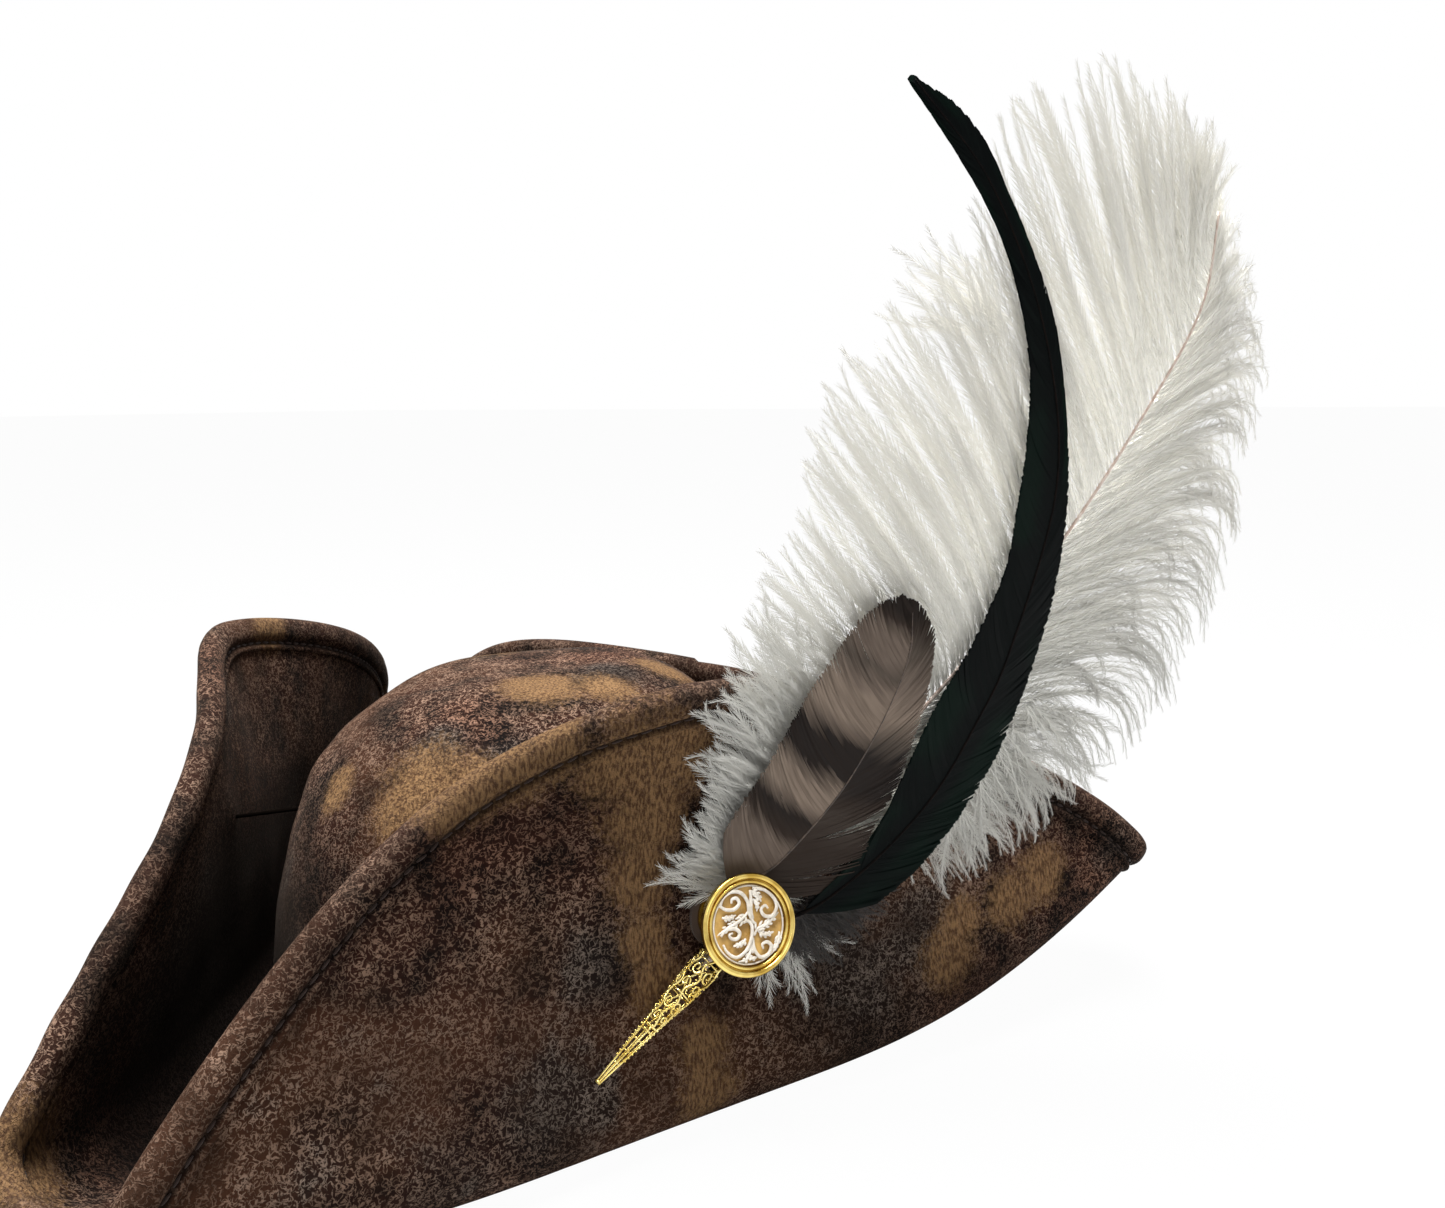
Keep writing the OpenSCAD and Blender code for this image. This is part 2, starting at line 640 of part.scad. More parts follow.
// The shank stands square on the pin plate and is cut to the slant of the button's back
module button_shank() {
  color(gold) intersection() {
    on_flap() translate([0, 0, quill_floor]) cylinder(h = 2 * button_lift, d = shank_d, $fn = 32);
    button_frame() translate([-button_d, -button_d, -2 * button_lift]) cube([2 * button_d, 2 * button_d, 2 * button_lift]);
  }
}
module button_cup() {
  color(gold) button_frame() rotate_extrude($fn = 96) polygon([
    [0, 0], [button_r - 2, 0], [button_r - 0.6, 1], [button_r - 0.6, cup_h],
    [button_r - 0.6 - cup_wall, cup_h], [button_r - 0.6 - cup_wall, cup_wall], [0, cup_wall]
  ]);
}
// Domed foil disc under the openwork
foil_r = button_r - 0.6 - cup_wall;
foil_t = cup_h - cup_wall;
module button_backing() {
  color("#b8862e") button_frame() translate([0, 0, cup_wall]) cylinder(h = foil_t, r = foil_r, $fn = 96);
}
// Twin beads round the edge, seated on the cup and on the foil
bead_r = rim_w / 4;
module button_rim() {
  color(gold) button_frame() translate([0, 0, cup_h]) rotate_extrude($fn = 96) union() {
    translate([button_r - rim_w, 0]) square([rim_w, bead_r]);
    for (x = [1, 3]) translate([button_r - x * bead_r, bead_r]) circle(r = bead_r, $fn = 24);
  }
}
// Scroll openwork: a thin ring with pairs of scrolls and a middle eye
work_r = button_r - rim_w - play;
scroll_count = 6;
stroke = 0.9;
outer_scroll_r = work_r * 0.22;
inner_scroll_r = work_r * 0.17;
module ring(r) {
  difference() {
    circle(r = r + stroke / 2, $fn = 40);
    circle(r = r - stroke / 2, $fn = 40);
  }
}
// A ring whose end turns in to a round bud
module scroll(r) {
  ring(r);
  circle(r = r * 0.4, $fn = 24);
  translate([-r, -stroke / 2]) square([r, stroke]);
}
module button_openwork() {
  color(pearl) button_frame() translate([0, 0, cup_h]) linear_extrude(openwork_t) union() {
    ring(work_r - stroke / 2);
    ring(work_r * 0.2);
    for (k = [0 : scroll_count - 1]) rotate(k * 360 / scroll_count) {
      translate([work_r * 0.7, 0]) scroll(outer_scroll_r);
      rotate(180 / scroll_count) translate([work_r * 0.43, 0]) ring(inner_scroll_r);
    }
  }
}

crown_shell();
crown_lining();
sweatband();
brim_under();
brim_upper();
brim_hem();
brim_wire();
hem_thread();
flap_tacks();
pin_pad();
pin_base();
pin_clutch();
quill_binding();
plume_shaft();
plume_vane();
coque_shaft();
coque_vane();
barred_shaft();
barred_vane();
filigree_cone();
button_shank();
button_cup();
button_backing();
button_openwork();
button_rim();
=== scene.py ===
"""Looks of a three-cornered pirate hat with a feather brooch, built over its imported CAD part.

Shapes are worked out in millimetres and degrees from the values of the part's source, and become
metres when a mesh is made. The front corner points to -Y and the wearer's left side is +X.
"""

import bpy
import numpy as np
from mathutils import Matrix


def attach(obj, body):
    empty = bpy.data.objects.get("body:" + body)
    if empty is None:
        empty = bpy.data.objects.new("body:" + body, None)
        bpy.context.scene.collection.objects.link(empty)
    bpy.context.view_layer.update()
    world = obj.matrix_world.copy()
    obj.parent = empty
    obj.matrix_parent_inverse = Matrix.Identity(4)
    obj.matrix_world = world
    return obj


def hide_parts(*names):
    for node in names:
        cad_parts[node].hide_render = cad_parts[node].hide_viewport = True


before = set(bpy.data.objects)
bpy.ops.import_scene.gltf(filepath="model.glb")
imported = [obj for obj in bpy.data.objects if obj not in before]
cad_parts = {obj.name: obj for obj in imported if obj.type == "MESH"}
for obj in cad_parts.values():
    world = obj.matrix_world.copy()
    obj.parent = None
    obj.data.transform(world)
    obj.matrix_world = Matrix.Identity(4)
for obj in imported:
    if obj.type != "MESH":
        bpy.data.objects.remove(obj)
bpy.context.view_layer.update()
MM = 0.001


# Plain helpers

def sind(a):
    return np.sin(np.radians(a))


def cosd(a):
    return np.cos(np.radians(a))


def bell(t):
    return np.exp(-np.square(t))


def mix(a, b, t):
    return a + (b - a) * t


def ease(t):
    u = np.clip(t, 0, 1)
    return u * u * (3 - 2 * u)


def wrapped(a):
    return (np.asarray(a, float) + 180) % 360 - 180


def unit(v):
    return v / np.linalg.norm(v, axis=-1, keepdims=True)


def distance(points, place):
    return np.linalg.norm(points - place, axis=-1)


def slow_waves(points, length, seed):
    """Smooth bumps of about -1 to 1, some length apart, anywhere in space."""
    rng = np.random.default_rng(seed)
    total = 0
    for _ in range(7):
        way = unit(rng.normal(size=3)) * rng.uniform(0.7, 1.4) / length
        total = total + np.sin(2 * np.pi * (points @ way) + rng.uniform(0, 7))
    return total / 3


def run_of(points):
    """Length along a line up to each of its points."""
    return np.concatenate([[0], np.cumsum(np.linalg.norm(np.diff(points, axis=0), axis=1))])


def along_line(points, count=None, shares=None):
    """Points spaced evenly along a line, or at given shares of its length."""
    points = np.asarray(points, float)
    run = run_of(points)
    shares = np.linspace(0, 1, count) if shares is None else np.asarray(shares)
    return np.stack([np.interp(shares * run[-1], run, column) for column in points.T], -1)


def smooth_line(points, steps=12):
    """The source's smooth curve through a list of points."""
    p = np.asarray(points, float)
    p = np.concatenate([[2 * p[0] - p[1]], p, [2 * p[-1] - p[-2]]])
    rows = []
    for a, b, c, d in zip(p, p[1:], p[2:], p[3:]):
        u = np.linspace(0, 1, steps, endpoint=False)[:, None]
        rows.append(b + u * (0.5 * (c - a) + u * (a - 2.5 * b + 2 * c - 0.5 * d
                                                  + u * 0.5 * (3 * b - a - 3 * c + d))))
    return np.concatenate(rows + [p[-2:-1]])


# Meshes

def grid_faces(rows, cols, rows_meet=False, cols_meet=False, first=0):
    """Quads between neighbouring rows of points, which may meet themselves."""
    i = np.arange(rows if rows_meet else rows - 1)[:, None]
    k = np.arange(cols if cols_meet else cols - 1)[None, :]
    j, m = (i + 1) % rows, (k + 1) % cols
    corners = np.broadcast_arrays(i * cols + k, i * cols + m, j * cols + m, j * cols + k)
    return first + np.stack(corners, -1).reshape(-1, 4)


def signed_volume(points, faces):
    """Six times the volume inside a closed mesh, below 0 where its faces point inwards."""
    total = 0
    for size in {len(f) for f in faces}:
        corners = points[np.array([f for f in faces if len(f) == size])]
        for k in range(1, size - 1):
            total += np.sum(corners[:, 0] * np.cross(corners[:, k], corners[:, k + 1]))
    return total


def new_object(name, data):
    thing = bpy.data.objects.new(name, data)
    bpy.context.collection.objects.link(thing)
    return thing


def new_mesh(name, points, edges, faces, fields):
    mesh = bpy.data.meshes.new(name)
    mesh.from_pydata((np.asarray(points, float) * MM).tolist(), edges, [list(map(int, f)) for f in faces])
    for field, values in fields.items():
        values = np.asarray(values, np.float32)
        kind, key = ("FLOAT_VECTOR", "vector") if values.ndim == 2 else ("FLOAT", "value")
        mesh.attributes.new(field, kind, "POINT").data.foreach_set(key, values.ravel())
    return mesh


def new_piece(name, points, faces, finish, closed=True, **fields):
    """A smooth piece at the origin, its faces pointing outwards where it is closed."""
    mesh = new_mesh(name, points, [], faces, fields)
    if closed and signed_volume(points, faces) < 0:
        mesh.flip_normals()
    mesh.shade_smooth()
    mesh.materials.append(finish)
    return new_object(name, mesh)


def path_mesh(name, paths, meet=False, **fields):
    """Paths of equal point counts, as rows of edges."""
    paths = np.asarray(paths, float)
    count, n = paths.shape[:2]
    edges = [(i * n + k, i * n + (k + 1) % n) for i in range(count) for k in range(n if meet else n - 1)]
    return new_mesh(name, paths.reshape(-1, 3), edges, [], fields)


def settle(piece, body, node):
    """A piece that rides on a body, in place of a node of the part."""
    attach(piece, body)
    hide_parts(node)
    return piece


# Node trees

def hex_colour(code):
    """A written screen colour as the linear colour that a shader takes."""
    part = np.array([int(code[i:i + 2], 16) for i in (0, 2, 4)]) / 255
    return (*np.where(part <= 0.04045, part / 12.92, ((part + 0.055) / 1.055) ** 2.4), 1)


class Nodes:
    """A node tree, with short names for the nodes that are added to it most."""

    def __init__(self, tree):
        self.tree = tree

    def link(self, value, socket):
        if isinstance(value, bpy.types.NodeSocket):
            self.tree.links.new(value, socket)
        else:
            socket.default_value = value

    def add(self, kind, links=None, **settings):
        """A node with its settings, and a value or another node's output on each named input."""
        node = self.tree.nodes.new(kind)
        for key, value in settings.items():
            setattr(node, key, value)
        for key, value in (links or {}).items():
            self.link(value, node.inputs[key])
        return node

    def first(self, kind, links=None, **settings):
        return self.add(kind, links, **settings).outputs[0]

    def math(self, operation, a, b=0.0, c=0.0, clamp=False):
        return self.first("ShaderNodeMath", {0: a, 1: b, 2: c}, operation=operation, use_clamp=clamp)

    def plus(self, a, b):
        return self.math("ADD", a, b)

    def minus(self, a, b):
        return self.math("SUBTRACT", a, b)

    def times(self, a, b, more=0.0):
        return self.math("MULTIPLY_ADD", a, b, more)

    def vector(self, operation, a, b=(0, 0, 0)):
        return self.first("ShaderNodeVectorMath", {0: a, 1: b}, operation=operation)

    def stretched(self, vector, factor):
        return self.first("ShaderNodeVectorMath", {0: vector, "Scale": factor}, operation="SCALE")

    def joined(self, x, y, z=0.0):
        return self.first("ShaderNodeCombineXYZ", {0: x, 1: y, 2: z})

    def parts(self, vector):
        return self.add("ShaderNodeSeparateXYZ", {0: vector}).outputs

    def place(self, scale=None):
        """The place on the piece, stretched along its axes if a scale is given."""
        place = self.add("ShaderNodeTexCoord").outputs["Object"]
        return self.first("ShaderNodeMapping", {"Vector": place, "Scale": scale}) if scale else place

    def noise(self, place, scale, detail=2.0, rough=0.5, twist=0.0):
        return self.first("ShaderNodeTexNoise", {"Vector": place, "Scale": scale, "Detail": detail,
                                                 "Roughness": rough, "Distortion": twist})

    def ranged(self, value, low, high, to_low=0.0, to_high=1.0):
        return self.first("ShaderNodeMapRange", {"Value": value, "From Min": low, "From Max": high,
                                                 "To Min": to_low, "To Max": to_high},
                          interpolation_type="SMOOTHSTEP")

    def blend(self, share, *tones):
        """A share of the way from one tone to another, each an output or a written colour."""
        a, b = (hex_colour(tone) if isinstance(tone, str) else tone for tone in tones)
        return self.add("ShaderNodeMix", {0: share, 6: a, 7: b}, data_type="RGBA").outputs[2]

    def field(self, name):
        return self.add("ShaderNodeAttribute", attribute_name=name).outputs["Fac"]

    def bump(self, height, strength, depth):
        return self.first("ShaderNodeBump", {"Height": height, "Strength": strength, "Distance": depth})

    def surface(self, **values):
        """Values or outputs on the inputs of a finish."""
        for key, value in values.items():
            self.link(value, self.tree.nodes["Principled BSDF"].inputs[key.replace("_", " ")])

    def read(self, name, kind="FLOAT"):
        return self.first("GeometryNodeInputNamedAttribute", {"Name": name}, data_type=kind)

    def stray(self, seed):
        """A random vector at each point, its parts from -1 to 1."""
        return self.first("FunctionNodeRandomValue", {0: (-1, -1, -1), 1: (1, 1, 1), "Seed": seed},
                          data_type="FLOAT_VECTOR")

    def aimed(self, way, facing=None):
        """The turn that points X along a way, and Z towards a facing."""
        turn = self.first("FunctionNodeAlignRotationToVector", {"Vector": way}, axis="X")
        if facing is None:
            return turn
        return self.first("FunctionNodeAlignRotationToVector", {"Rotation": turn, "Vector": facing},
                          axis="Z", pivot_axis="X")

    def strip(self, steps):
        """A unit strip, with the share along it and the place across it of each point."""
        grid = self.first("GeometryNodeMeshGrid", {"Size X": 1.0, "Size Y": 1.0, "Vertices X": steps, "Vertices Y": 2})
        x, y, _ = self.parts(self.first("GeometryNodeInputPosition"))
        return grid, self.plus(x, 0.5), y

    def spots(self, path, pitch):
        return self.first("GeometryNodeResampleCurve", {"Curve": path, "Length": pitch}, mode="LENGTH")

    def moved(self, geometry, **where):
        return self.first("GeometryNodeSetPosition", {"Geometry": geometry, **where})

    def copies(self, points, instance, turn, size, **more):
        return self.first("GeometryNodeInstanceOnPoints", {"Points": points, "Instance": instance,
                                                           "Rotation": turn, "Scale": size, **more})

    def close(self, geometry, finish):
        """Real geometry with a finish, as the result of a Geometry Nodes tree."""
        real = self.first("GeometryNodeRealizeInstances", {"Geometry": geometry})
        done = self.first("GeometryNodeSetMaterial", {"Geometry": real, "Material": finish})
        self.link(done, self.tree.nodes.new("NodeGroupOutput").inputs[0])
        return self.tree


def growth_tree(name, inputs):
    """An empty Geometry Nodes tree that takes a mesh, named numbers and a finish."""
    tree = bpy.data.node_groups.new(name, "GeometryNodeTree")

    def socket(label, kind, way="INPUT"):
        return tree.interface.new_socket(label, in_out=way, socket_type="NodeSocket" + kind)

    socket("Geometry", "Geometry")
    for label, value in inputs.items():
        socket(label, "Int" if isinstance(value, int) else "Float").default_value = value
    socket("Finish", "Material")
    socket("Geometry", "Geometry", "OUTPUT")
    return Nodes(tree), tree.nodes.new("NodeGroupInput").outputs


def grown(name, mesh, tree, **values):
    """The plain mesh that a tree grows from a mesh of paths or points."""
    holder = new_object(name + "_paths", mesh)
    growth = holder.modifiers.new("growth", "NODES")
    growth.node_group = tree
    for item in tree.interface.items_tree:
        key = item.name.lower().replace(" ", "_")
        if item.in_out == "INPUT" and key in values:
            growth[item.identifier] = values[key]
    ready = holder.evaluated_get(bpy.context.evaluated_depsgraph_get())
    result = bpy.data.meshes.new_from_object(ready)
    result.name = name
    holder.modifiers.clear()
    bpy.data.objects.remove(holder)
    result.shade_smooth()
    return new_object(name, result)


# Finishes

def new_finish(name, **constants):
    material = bpy.data.materials.new(name)
    material.use_nodes = True
    n = Nodes(material.node_tree)
    n.surface(**constants)
    return material, n


def suede_finish():
    """Faux suede rubbed to pale broken fibres, with tan worn patches, dark stains and painted shade."""
    material, n = new_finish("distressed_suede", Specular_IOR_Level=0.04, Sheen_Weight=0.03,
                             Sheen_Roughness=0.4, Sheen_Tint=(0.8, 0.62, 0.5, 1))
    place = n.place()
    broad = n.noise(place, 16, 3)
    clouds = n.noise(place, 62, 5, 0.62)
    fine = n.noise(place, 1500, 2, 0.6)
    flecks = n.noise(place, 620, 3, 0.66, 0.5)
    squiggle = n.noise(place, 640, 1.8, 0.6, 0.6)
    grain = n.noise(n.place((1, 1, 0.28)), 1300, 2, 0.6)
    lines = n.ranged(n.math("ABSOLUTE", n.minus(squiggle, 0.5)), 0.012, 0.075, 1.0, 0.0)
    fibres = n.times(lines, n.ranged(flecks, 0.36, 0.5))
    fibres = n.math("ADD", fibres, n.ranged(flecks, 0.6, 0.7, 0.0, 0.5), clamp=True)
    # Stains, and painted shade low on the front flap, darken the ground and the threads
    stain_and_shade = n.ranged(n.plus(n.field("stain_and_shade"), n.times(clouds, 2.4, -1.2)), -0.2, 0.7, 0.0, 0.8)
    ground = n.blend(n.ranged(clouds, 0.36, 0.6), "090504", "24130d")
    ground = n.blend(n.ranged(broad, 0.5, 0.64, 0.0, 0.4), ground, "432b1c")
    ground = n.blend(stain_and_shade, ground, "0f0d0c")
    thread = n.blend(n.ranged(broad, 0.36, 0.5), "80604f", "7f6757")
    thread = n.blend(stain_and_shade, thread, "625a53")
    shown = n.times(fibres, n.ranged(clouds, 0.3, 0.66, 0.25, 1.0))
    shown = n.times(shown, n.ranged(n.noise(place, 26, 3), 0.38, 0.6, 0.6, 1.05))
    cloth = n.blend(shown, ground, thread)
    bare = n.plus(n.field("tan"), n.times(clouds, 1.5, -0.75))
    bare = n.plus(bare, n.times(flecks, 1.5, -0.75))
    tan = n.blend(n.ranged(grain, 0.36, 0.62), "453121", "775c3f")
    cloth = n.blend(n.times(n.ranged(bare, -0.5, 0.45), 0.9), cloth, tan)
    cloth = n.blend(n.times(n.field("rub"), n.ranged(fine, 0.35, 0.6)), cloth, "8f7767")
    # Painted shade: near black low on the crown, inside the flaps towards the crown and in the hem's groove
    cloth = n.blend(n.times(n.field("painted_shade"), 0.88), cloth, "0b0807")
    height = n.plus(n.times(fibres, 0.7), n.times(fine, 0.6))
    n.surface(Base_Color=cloth, Roughness=n.ranged(fine, 0.3, 0.7, 0.78, 0.95), Normal=n.bump(height, 0.75, 0.0006))
    return material


def cloth_finish(name, dark, light, thread_mm, rough, sheen=0.1, gloss=0.25):
    """Plain woven cloth: two crossing sets of threads with uneven dye."""
    material, n = new_finish(name, Sheen_Weight=sheen, Specular_IOR_Level=gloss)
    rate = 2 * np.pi / (thread_mm * MM)
    place = n.place()
    x, y, z = n.parts(place)
    across = n.math("SINE", n.times(n.plus(x, y), rate))
    up = n.math("SINE", n.times(n.minus(z, n.times(y, 0.3)), rate))
    weave = n.ranged(n.times(across, up), -1.0, 1.0)
    dye = n.noise(place, 60, 4)
    n.surface(Base_Color=n.blend(n.times(weave, 0.5, n.times(dye, 0.5)), dark, light),
              Roughness=n.ranged(dye, 0.3, 0.7, rough - 0.08, rough + 0.05), Normal=n.bump(weave, 0.5, 0.0002))
    return material


def metal_finish(name, deep, bright, rough):
    """Polished plating with faint clouding and fine scratches."""
    material, n = new_finish(name, Metallic=1.0)
    scratch = n.noise(n.place((1, 1, 14)), 300, 3)
    n.surface(Base_Color=n.blend(n.ranged(n.noise(n.place(), 160, 4), 0.3, 0.7), deep, bright),
              Roughness=n.ranged(scratch, 0.3, 0.75, rough, rough + 0.12), Normal=n.bump(scratch, 0.06, 0.0001))
    return material


def streaked_finish(name, deep, pale, rough, scale, sheen=0.0, gloss=0.5):
    """Down, quills and lacquer: soft streaks between two tones."""
    material, n = new_finish(name, Sheen_Weight=sheen, Specular_IOR_Level=gloss)
    streak = n.noise(n.place((scale, scale, scale)), 1.0, 3)
    n.surface(Base_Color=n.blend(n.ranged(streak, 0.3, 0.7), deep, pale),
              Roughness=n.ranged(streak, 0.3, 0.7, rough - 0.06, rough + 0.06))
    return material


def plume_finish():
    """White barbs, painted lighter at their roots to offset their shade, greyer at their tips, and with painted shade
    towards the foot of the plume.
    """
    material, n = new_finish("plume_white", Sheen_Weight=0.05, Roughness=0.75, Specular_IOR_Level=0.2)
    place = n.place()
    # Painted light: the roots lighter to offset the shade among the dense barbs, the tips greyer
    tone = n.blend(n.ranged(n.field("run"), 0.2, 0.95), "fdfbf3", "dfddd6")
    tone = n.blend(n.ranged(n.noise(place, 420, 3), 0.4, 0.75, 0.0, 0.35), tone, "e0ded6")
    # Painted shade: greyer towards the foot of the plume, below 0.2 m up
    tone = n.blend(n.ranged(n.parts(place)[2], 0.115, 0.2, 0.36, 0.0), tone, "8f908c")
    n.surface(Base_Color=tone)
    return material


def coque_finish():
    """Black barbs with a dark green sheen that comes and goes along the vane."""
    material, n = new_finish("coque_black_green", Specular_IOR_Level=0.04)
    along, across = n.field("along"), n.field("across")
    lines = n.noise(n.joined(n.times(along, 420.0), across), 1.0, 2)
    green = n.times(n.ranged(across, 0.15, 0.6), n.ranged(n.noise(n.place(), 30, 2), 0.4, 0.6))
    dark = n.blend(green, "050808", "07140f")
    dark = n.blend(n.times(n.ranged(lines, 0.5, 0.75), 0.4), dark, "0f1614")
    n.surface(Base_Color=dark, Roughness=n.ranged(lines, 0.3, 0.7, 0.38, 0.55))
    return material


TAUPE, PALE_TAUPE, GREY, DUSK, BAR, BROWN = "6c5f55", "827366", "50473f", "3a322c", "1a1411", "2c231d"
LEFT_BARS = [(0.0, GREY), (0.14, TAUPE), (0.21, TAUPE), (0.26, BROWN), (0.31, BAR), (0.36, PALE_TAUPE),
             (0.42, PALE_TAUPE), (0.48, BAR), (0.57, BAR), (0.63, PALE_TAUPE), (0.72, PALE_TAUPE), (0.76, TAUPE),
             (0.8, GREY), (0.84, TAUPE), (0.9, TAUPE), (0.96, BROWN), (1.0, BAR)]
RIGHT_BARS = [(0.0, BROWN), (0.26, BROWN), (0.34, DUSK), (0.4, BROWN), (0.45, BAR), (0.55, BAR), (0.61, GREY),
              (0.68, PALE_TAUPE), (0.78, TAUPE), (0.88, GREY), (0.95, BROWN), (1.0, BAR)]


def bar_ramp(n, place, stops):
    node = n.add("ShaderNodeValToRGB", {"Fac": place})
    elements = node.color_ramp.elements
    while len(elements) < len(stops):
        elements.new(0.5)
    for element, (where, tone) in zip(elements, stops):
        element.position = where
        element.color = hex_colour(tone)
    return node.outputs["Color"]


def barred_finish():
    """Taupe vane with dark wavy bars, other ones on each side of the shaft."""
    material, n = new_finish("barred_taupe", Sheen_Weight=0.02, Specular_IOR_Level=0.1)
    along, across, side = n.field("along"), n.field("across"), n.field("side")
    lines = n.noise(n.joined(n.times(along, 160.0), n.times(across, 1.5)), 1.0, 2)
    wave = n.noise(n.joined(n.times(along, 26.0), side), 1.0, 2)
    shift = n.times(wave, 0.1, n.times(lines, 0.07, -0.085))
    reach = n.times(across, n.times(side, -0.02, 0.14), along)
    left, right = (bar_ramp(n, n.plus(reach, shift), bars) for bars in (LEFT_BARS, RIGHT_BARS))
    tone = n.blend(n.ranged(side, -0.1, 0.1), right, left)
    tone = n.blend(n.ranged(lines, 0.35, 0.7, 0.0, 0.35), tone, "2a211c")
    n.surface(Base_Color=tone, Roughness=n.ranged(lines, 0.3, 0.7, 0.5, 0.7))
    return material


suede = suede_finish()
lining_cloth = cloth_finish("lining_cloth", "121113", "232124", 0.9, 0.8)
band_cloth = cloth_finish("sweatband_cloth", "1f1714", "3a2c25", 1.4, 0.85)
felt = cloth_finish("pressed_felt", "2f2520", "54443a", 0.7, 0.95)
dark_thread = cloth_finish("dark_thread", "1d120e", "35241c", 0.4, 0.8)
tack_thread = cloth_finish("tack_thread", "040302", "0a0706", 0.4, 0.95, 0.0, 0.0)
wrapping = cloth_finish("quill_wrapping", "3a2a1f", "6b5240", 0.6, 0.8)
gold = metal_finish("gold_plate", "b08f3e", "e2c978", 0.1)
filigree_gold = metal_finish("filigree_gold", "c2a652", "f0df98", 0.16)
spring_wire = metal_finish("spring_wire", "6f7275", "a2a5a8", 0.3)
plume_white = plume_finish()
down_dark = streaked_finish("sooty_down", "131110", "352f2b", 0.7, 900)
quill_horn = streaked_finish("quill_horn", "c2aa9c", "dccdc2", 0.45, 500)
barred_shaft_horn = streaked_finish("barred_shaft_horn", "2a201b", "5a4a3e", 0.5, 500)
coque_shaft_horn = streaked_finish("coque_shaft_horn", "070606", "15100e", 0.85, 300, gloss=0.05)
pearl = streaked_finish("pearl_lacquer", "d0c6b6", "e8e1d5", 0.28, 350, sheen=0.1)
amber = streaked_finish("amber_foil", "9a7230", "cfa65c", 0.3, 240)
coque = coque_finish()
barred = barred_finish()

# Hat shape, from the values of the part's source
CROWN_W, CROWN_L, CROWN_H, CROWN_T = 174, 198, 124, 1.8
LINING_INSET, LINING_T, LINING_H, BAND_INSET = 3.2, 0.8, 119, 4.64
PLAY, BRIM_T = 0.1, 1.6
BRIM_FACE = BRIM_T + PLAY / 2
FLAP_MID, BACK_CORNER = 61, 124.5
FOLD_R, CORNER_FOLD, FOLD_END, FLARE_SPREAD, CORNER_BLEND = 15, 100, 190, 64, 12
FRONT_CORNER_W, FRONT_FLAP_W, BACK_CORNER_W, BACK_FLAP_W = 87, 147, 126, 108
FRONT_RISE, BACK_RISE, RISE_SPREAD = 36, 34, 38
BACK_BUMP, BACK_BUMP_AT, BACK_BUMP_SPREAD = 16, -152, 18
BROOCH_AZIMUTH, BROOCH_SHARE, SPRAY_ANGLE, LEAN = 65.5, 0.53, 48, 19
TACKS = [(-49, 0.7), (49, 0.7), (180, 0.55)]
TACK_DENT, TACK_SPREAD, BROOCH_CALM = 1.6, 5, 34
# Painted shade: its top and fade up the crown, and its end and fade as shares of the brim's width
CROWN_SHADE_TOP, CROWN_SHADE_FADE, BRIM_SHADE_END, BRIM_SHADE_FADE = 88, 46, 0.92, 0.42
# The visible crown's foot stands out a little, so that no light shows between it and the brim
FOOT_FLARE = 0.5


def oval_r(a, half_w, half_l):
    return 1 / np.sqrt((sind(a) / half_w) ** 2 + (cosd(a) / half_l) ** 2)


def seat_r(a):
    return oval_r(a, CROWN_W / 2 + PLAY, CROWN_L / 2 + PLAY)


# Each flap's fold line from the middle, the bow of that line, the fold's angle and the flap's flare
FRONT_FLAP = seat_r(FLAP_MID) + 14, 1.5, 104, 23.5
BACK_FLAP = seat_r(180) + 13, 7, 95, 0


def pattern_r(azimuth):
    """Outline of the brim cloth before it is folded."""
    a = np.abs(azimuth)
    front = a < BACK_CORNER
    t = np.where(a < FLAP_MID, (FLAP_MID - a) / FLAP_MID,
                 np.where(front, (a - FLAP_MID) / (BACK_CORNER - FLAP_MID), (180 - a) / (180 - BACK_CORNER)))
    fall = sind(90 * np.clip(t, 0, 1) ** np.where(front, 0.75, 0.95)) ** 2
    corner = np.where(a < FLAP_MID, seat_r(0) + FRONT_CORNER_W, seat_r(BACK_CORNER) + BACK_CORNER_W)
    middle = np.where(front, seat_r(FLAP_MID) + FRONT_FLAP_W, seat_r(180) + BACK_FLAP_W)
    return mix(middle, corner, fall) + BACK_BUMP * bell((azimuth - BACK_BUMP_AT) / BACK_BUMP_SPREAD)


def corner_rise(x, y):
    a = np.degrees(np.arctan2(x, -y))
    reach = np.maximum(0, np.hypot(x, y) / (CROWN_L / 2 + 1) - 1) ** 2
    corners = (0, FRONT_RISE), (BACK_CORNER, BACK_RISE), (-BACK_CORNER, BACK_RISE)
    return reach * sum(rise * bell(wrapped(a - corner) / RISE_SPREAD) for corner, rise in corners)


def folded(px, py, middle, line, bow, angle, out):
    """Flat points folded up along the line that lies square to an azimuth."""
    m, t = (sind(middle), -cosd(middle)), (cosd(middle), sind(middle))
    x, y = px * t[0] + py * t[1], px * m[0] + py * m[1]
    turn = mix(angle, CORNER_FOLD, np.clip(np.abs(x) / FOLD_END, 0, 1) ** 2)
    crease = line + bow * (x / 100) ** 2
    arc = FOLD_R * np.radians(turn)
    start = crease - arc / 2
    e = np.maximum(0, y - start)
    bent = np.minimum(e, arc)
    straight = e - bent
    spread = out * (straight / 100) ** 2 * bell(x / FLARE_SPREAD)
    yy = np.minimum(y, start) + FOLD_R * np.sin(bent / FOLD_R) + straight * cosd(turn) + spread
    zz = FOLD_R * (1 - np.cos(bent / FOLD_R)) + straight * sind(turn)
    flat = np.minimum(y, crease)
    rise = corner_rise(x * t[0] + flat * m[0], x * t[1] + flat * m[1])
    return np.stack([x * t[0] + yy * m[0], x * t[1] + yy * m[1], BRIM_FACE + zz + rise], -1)


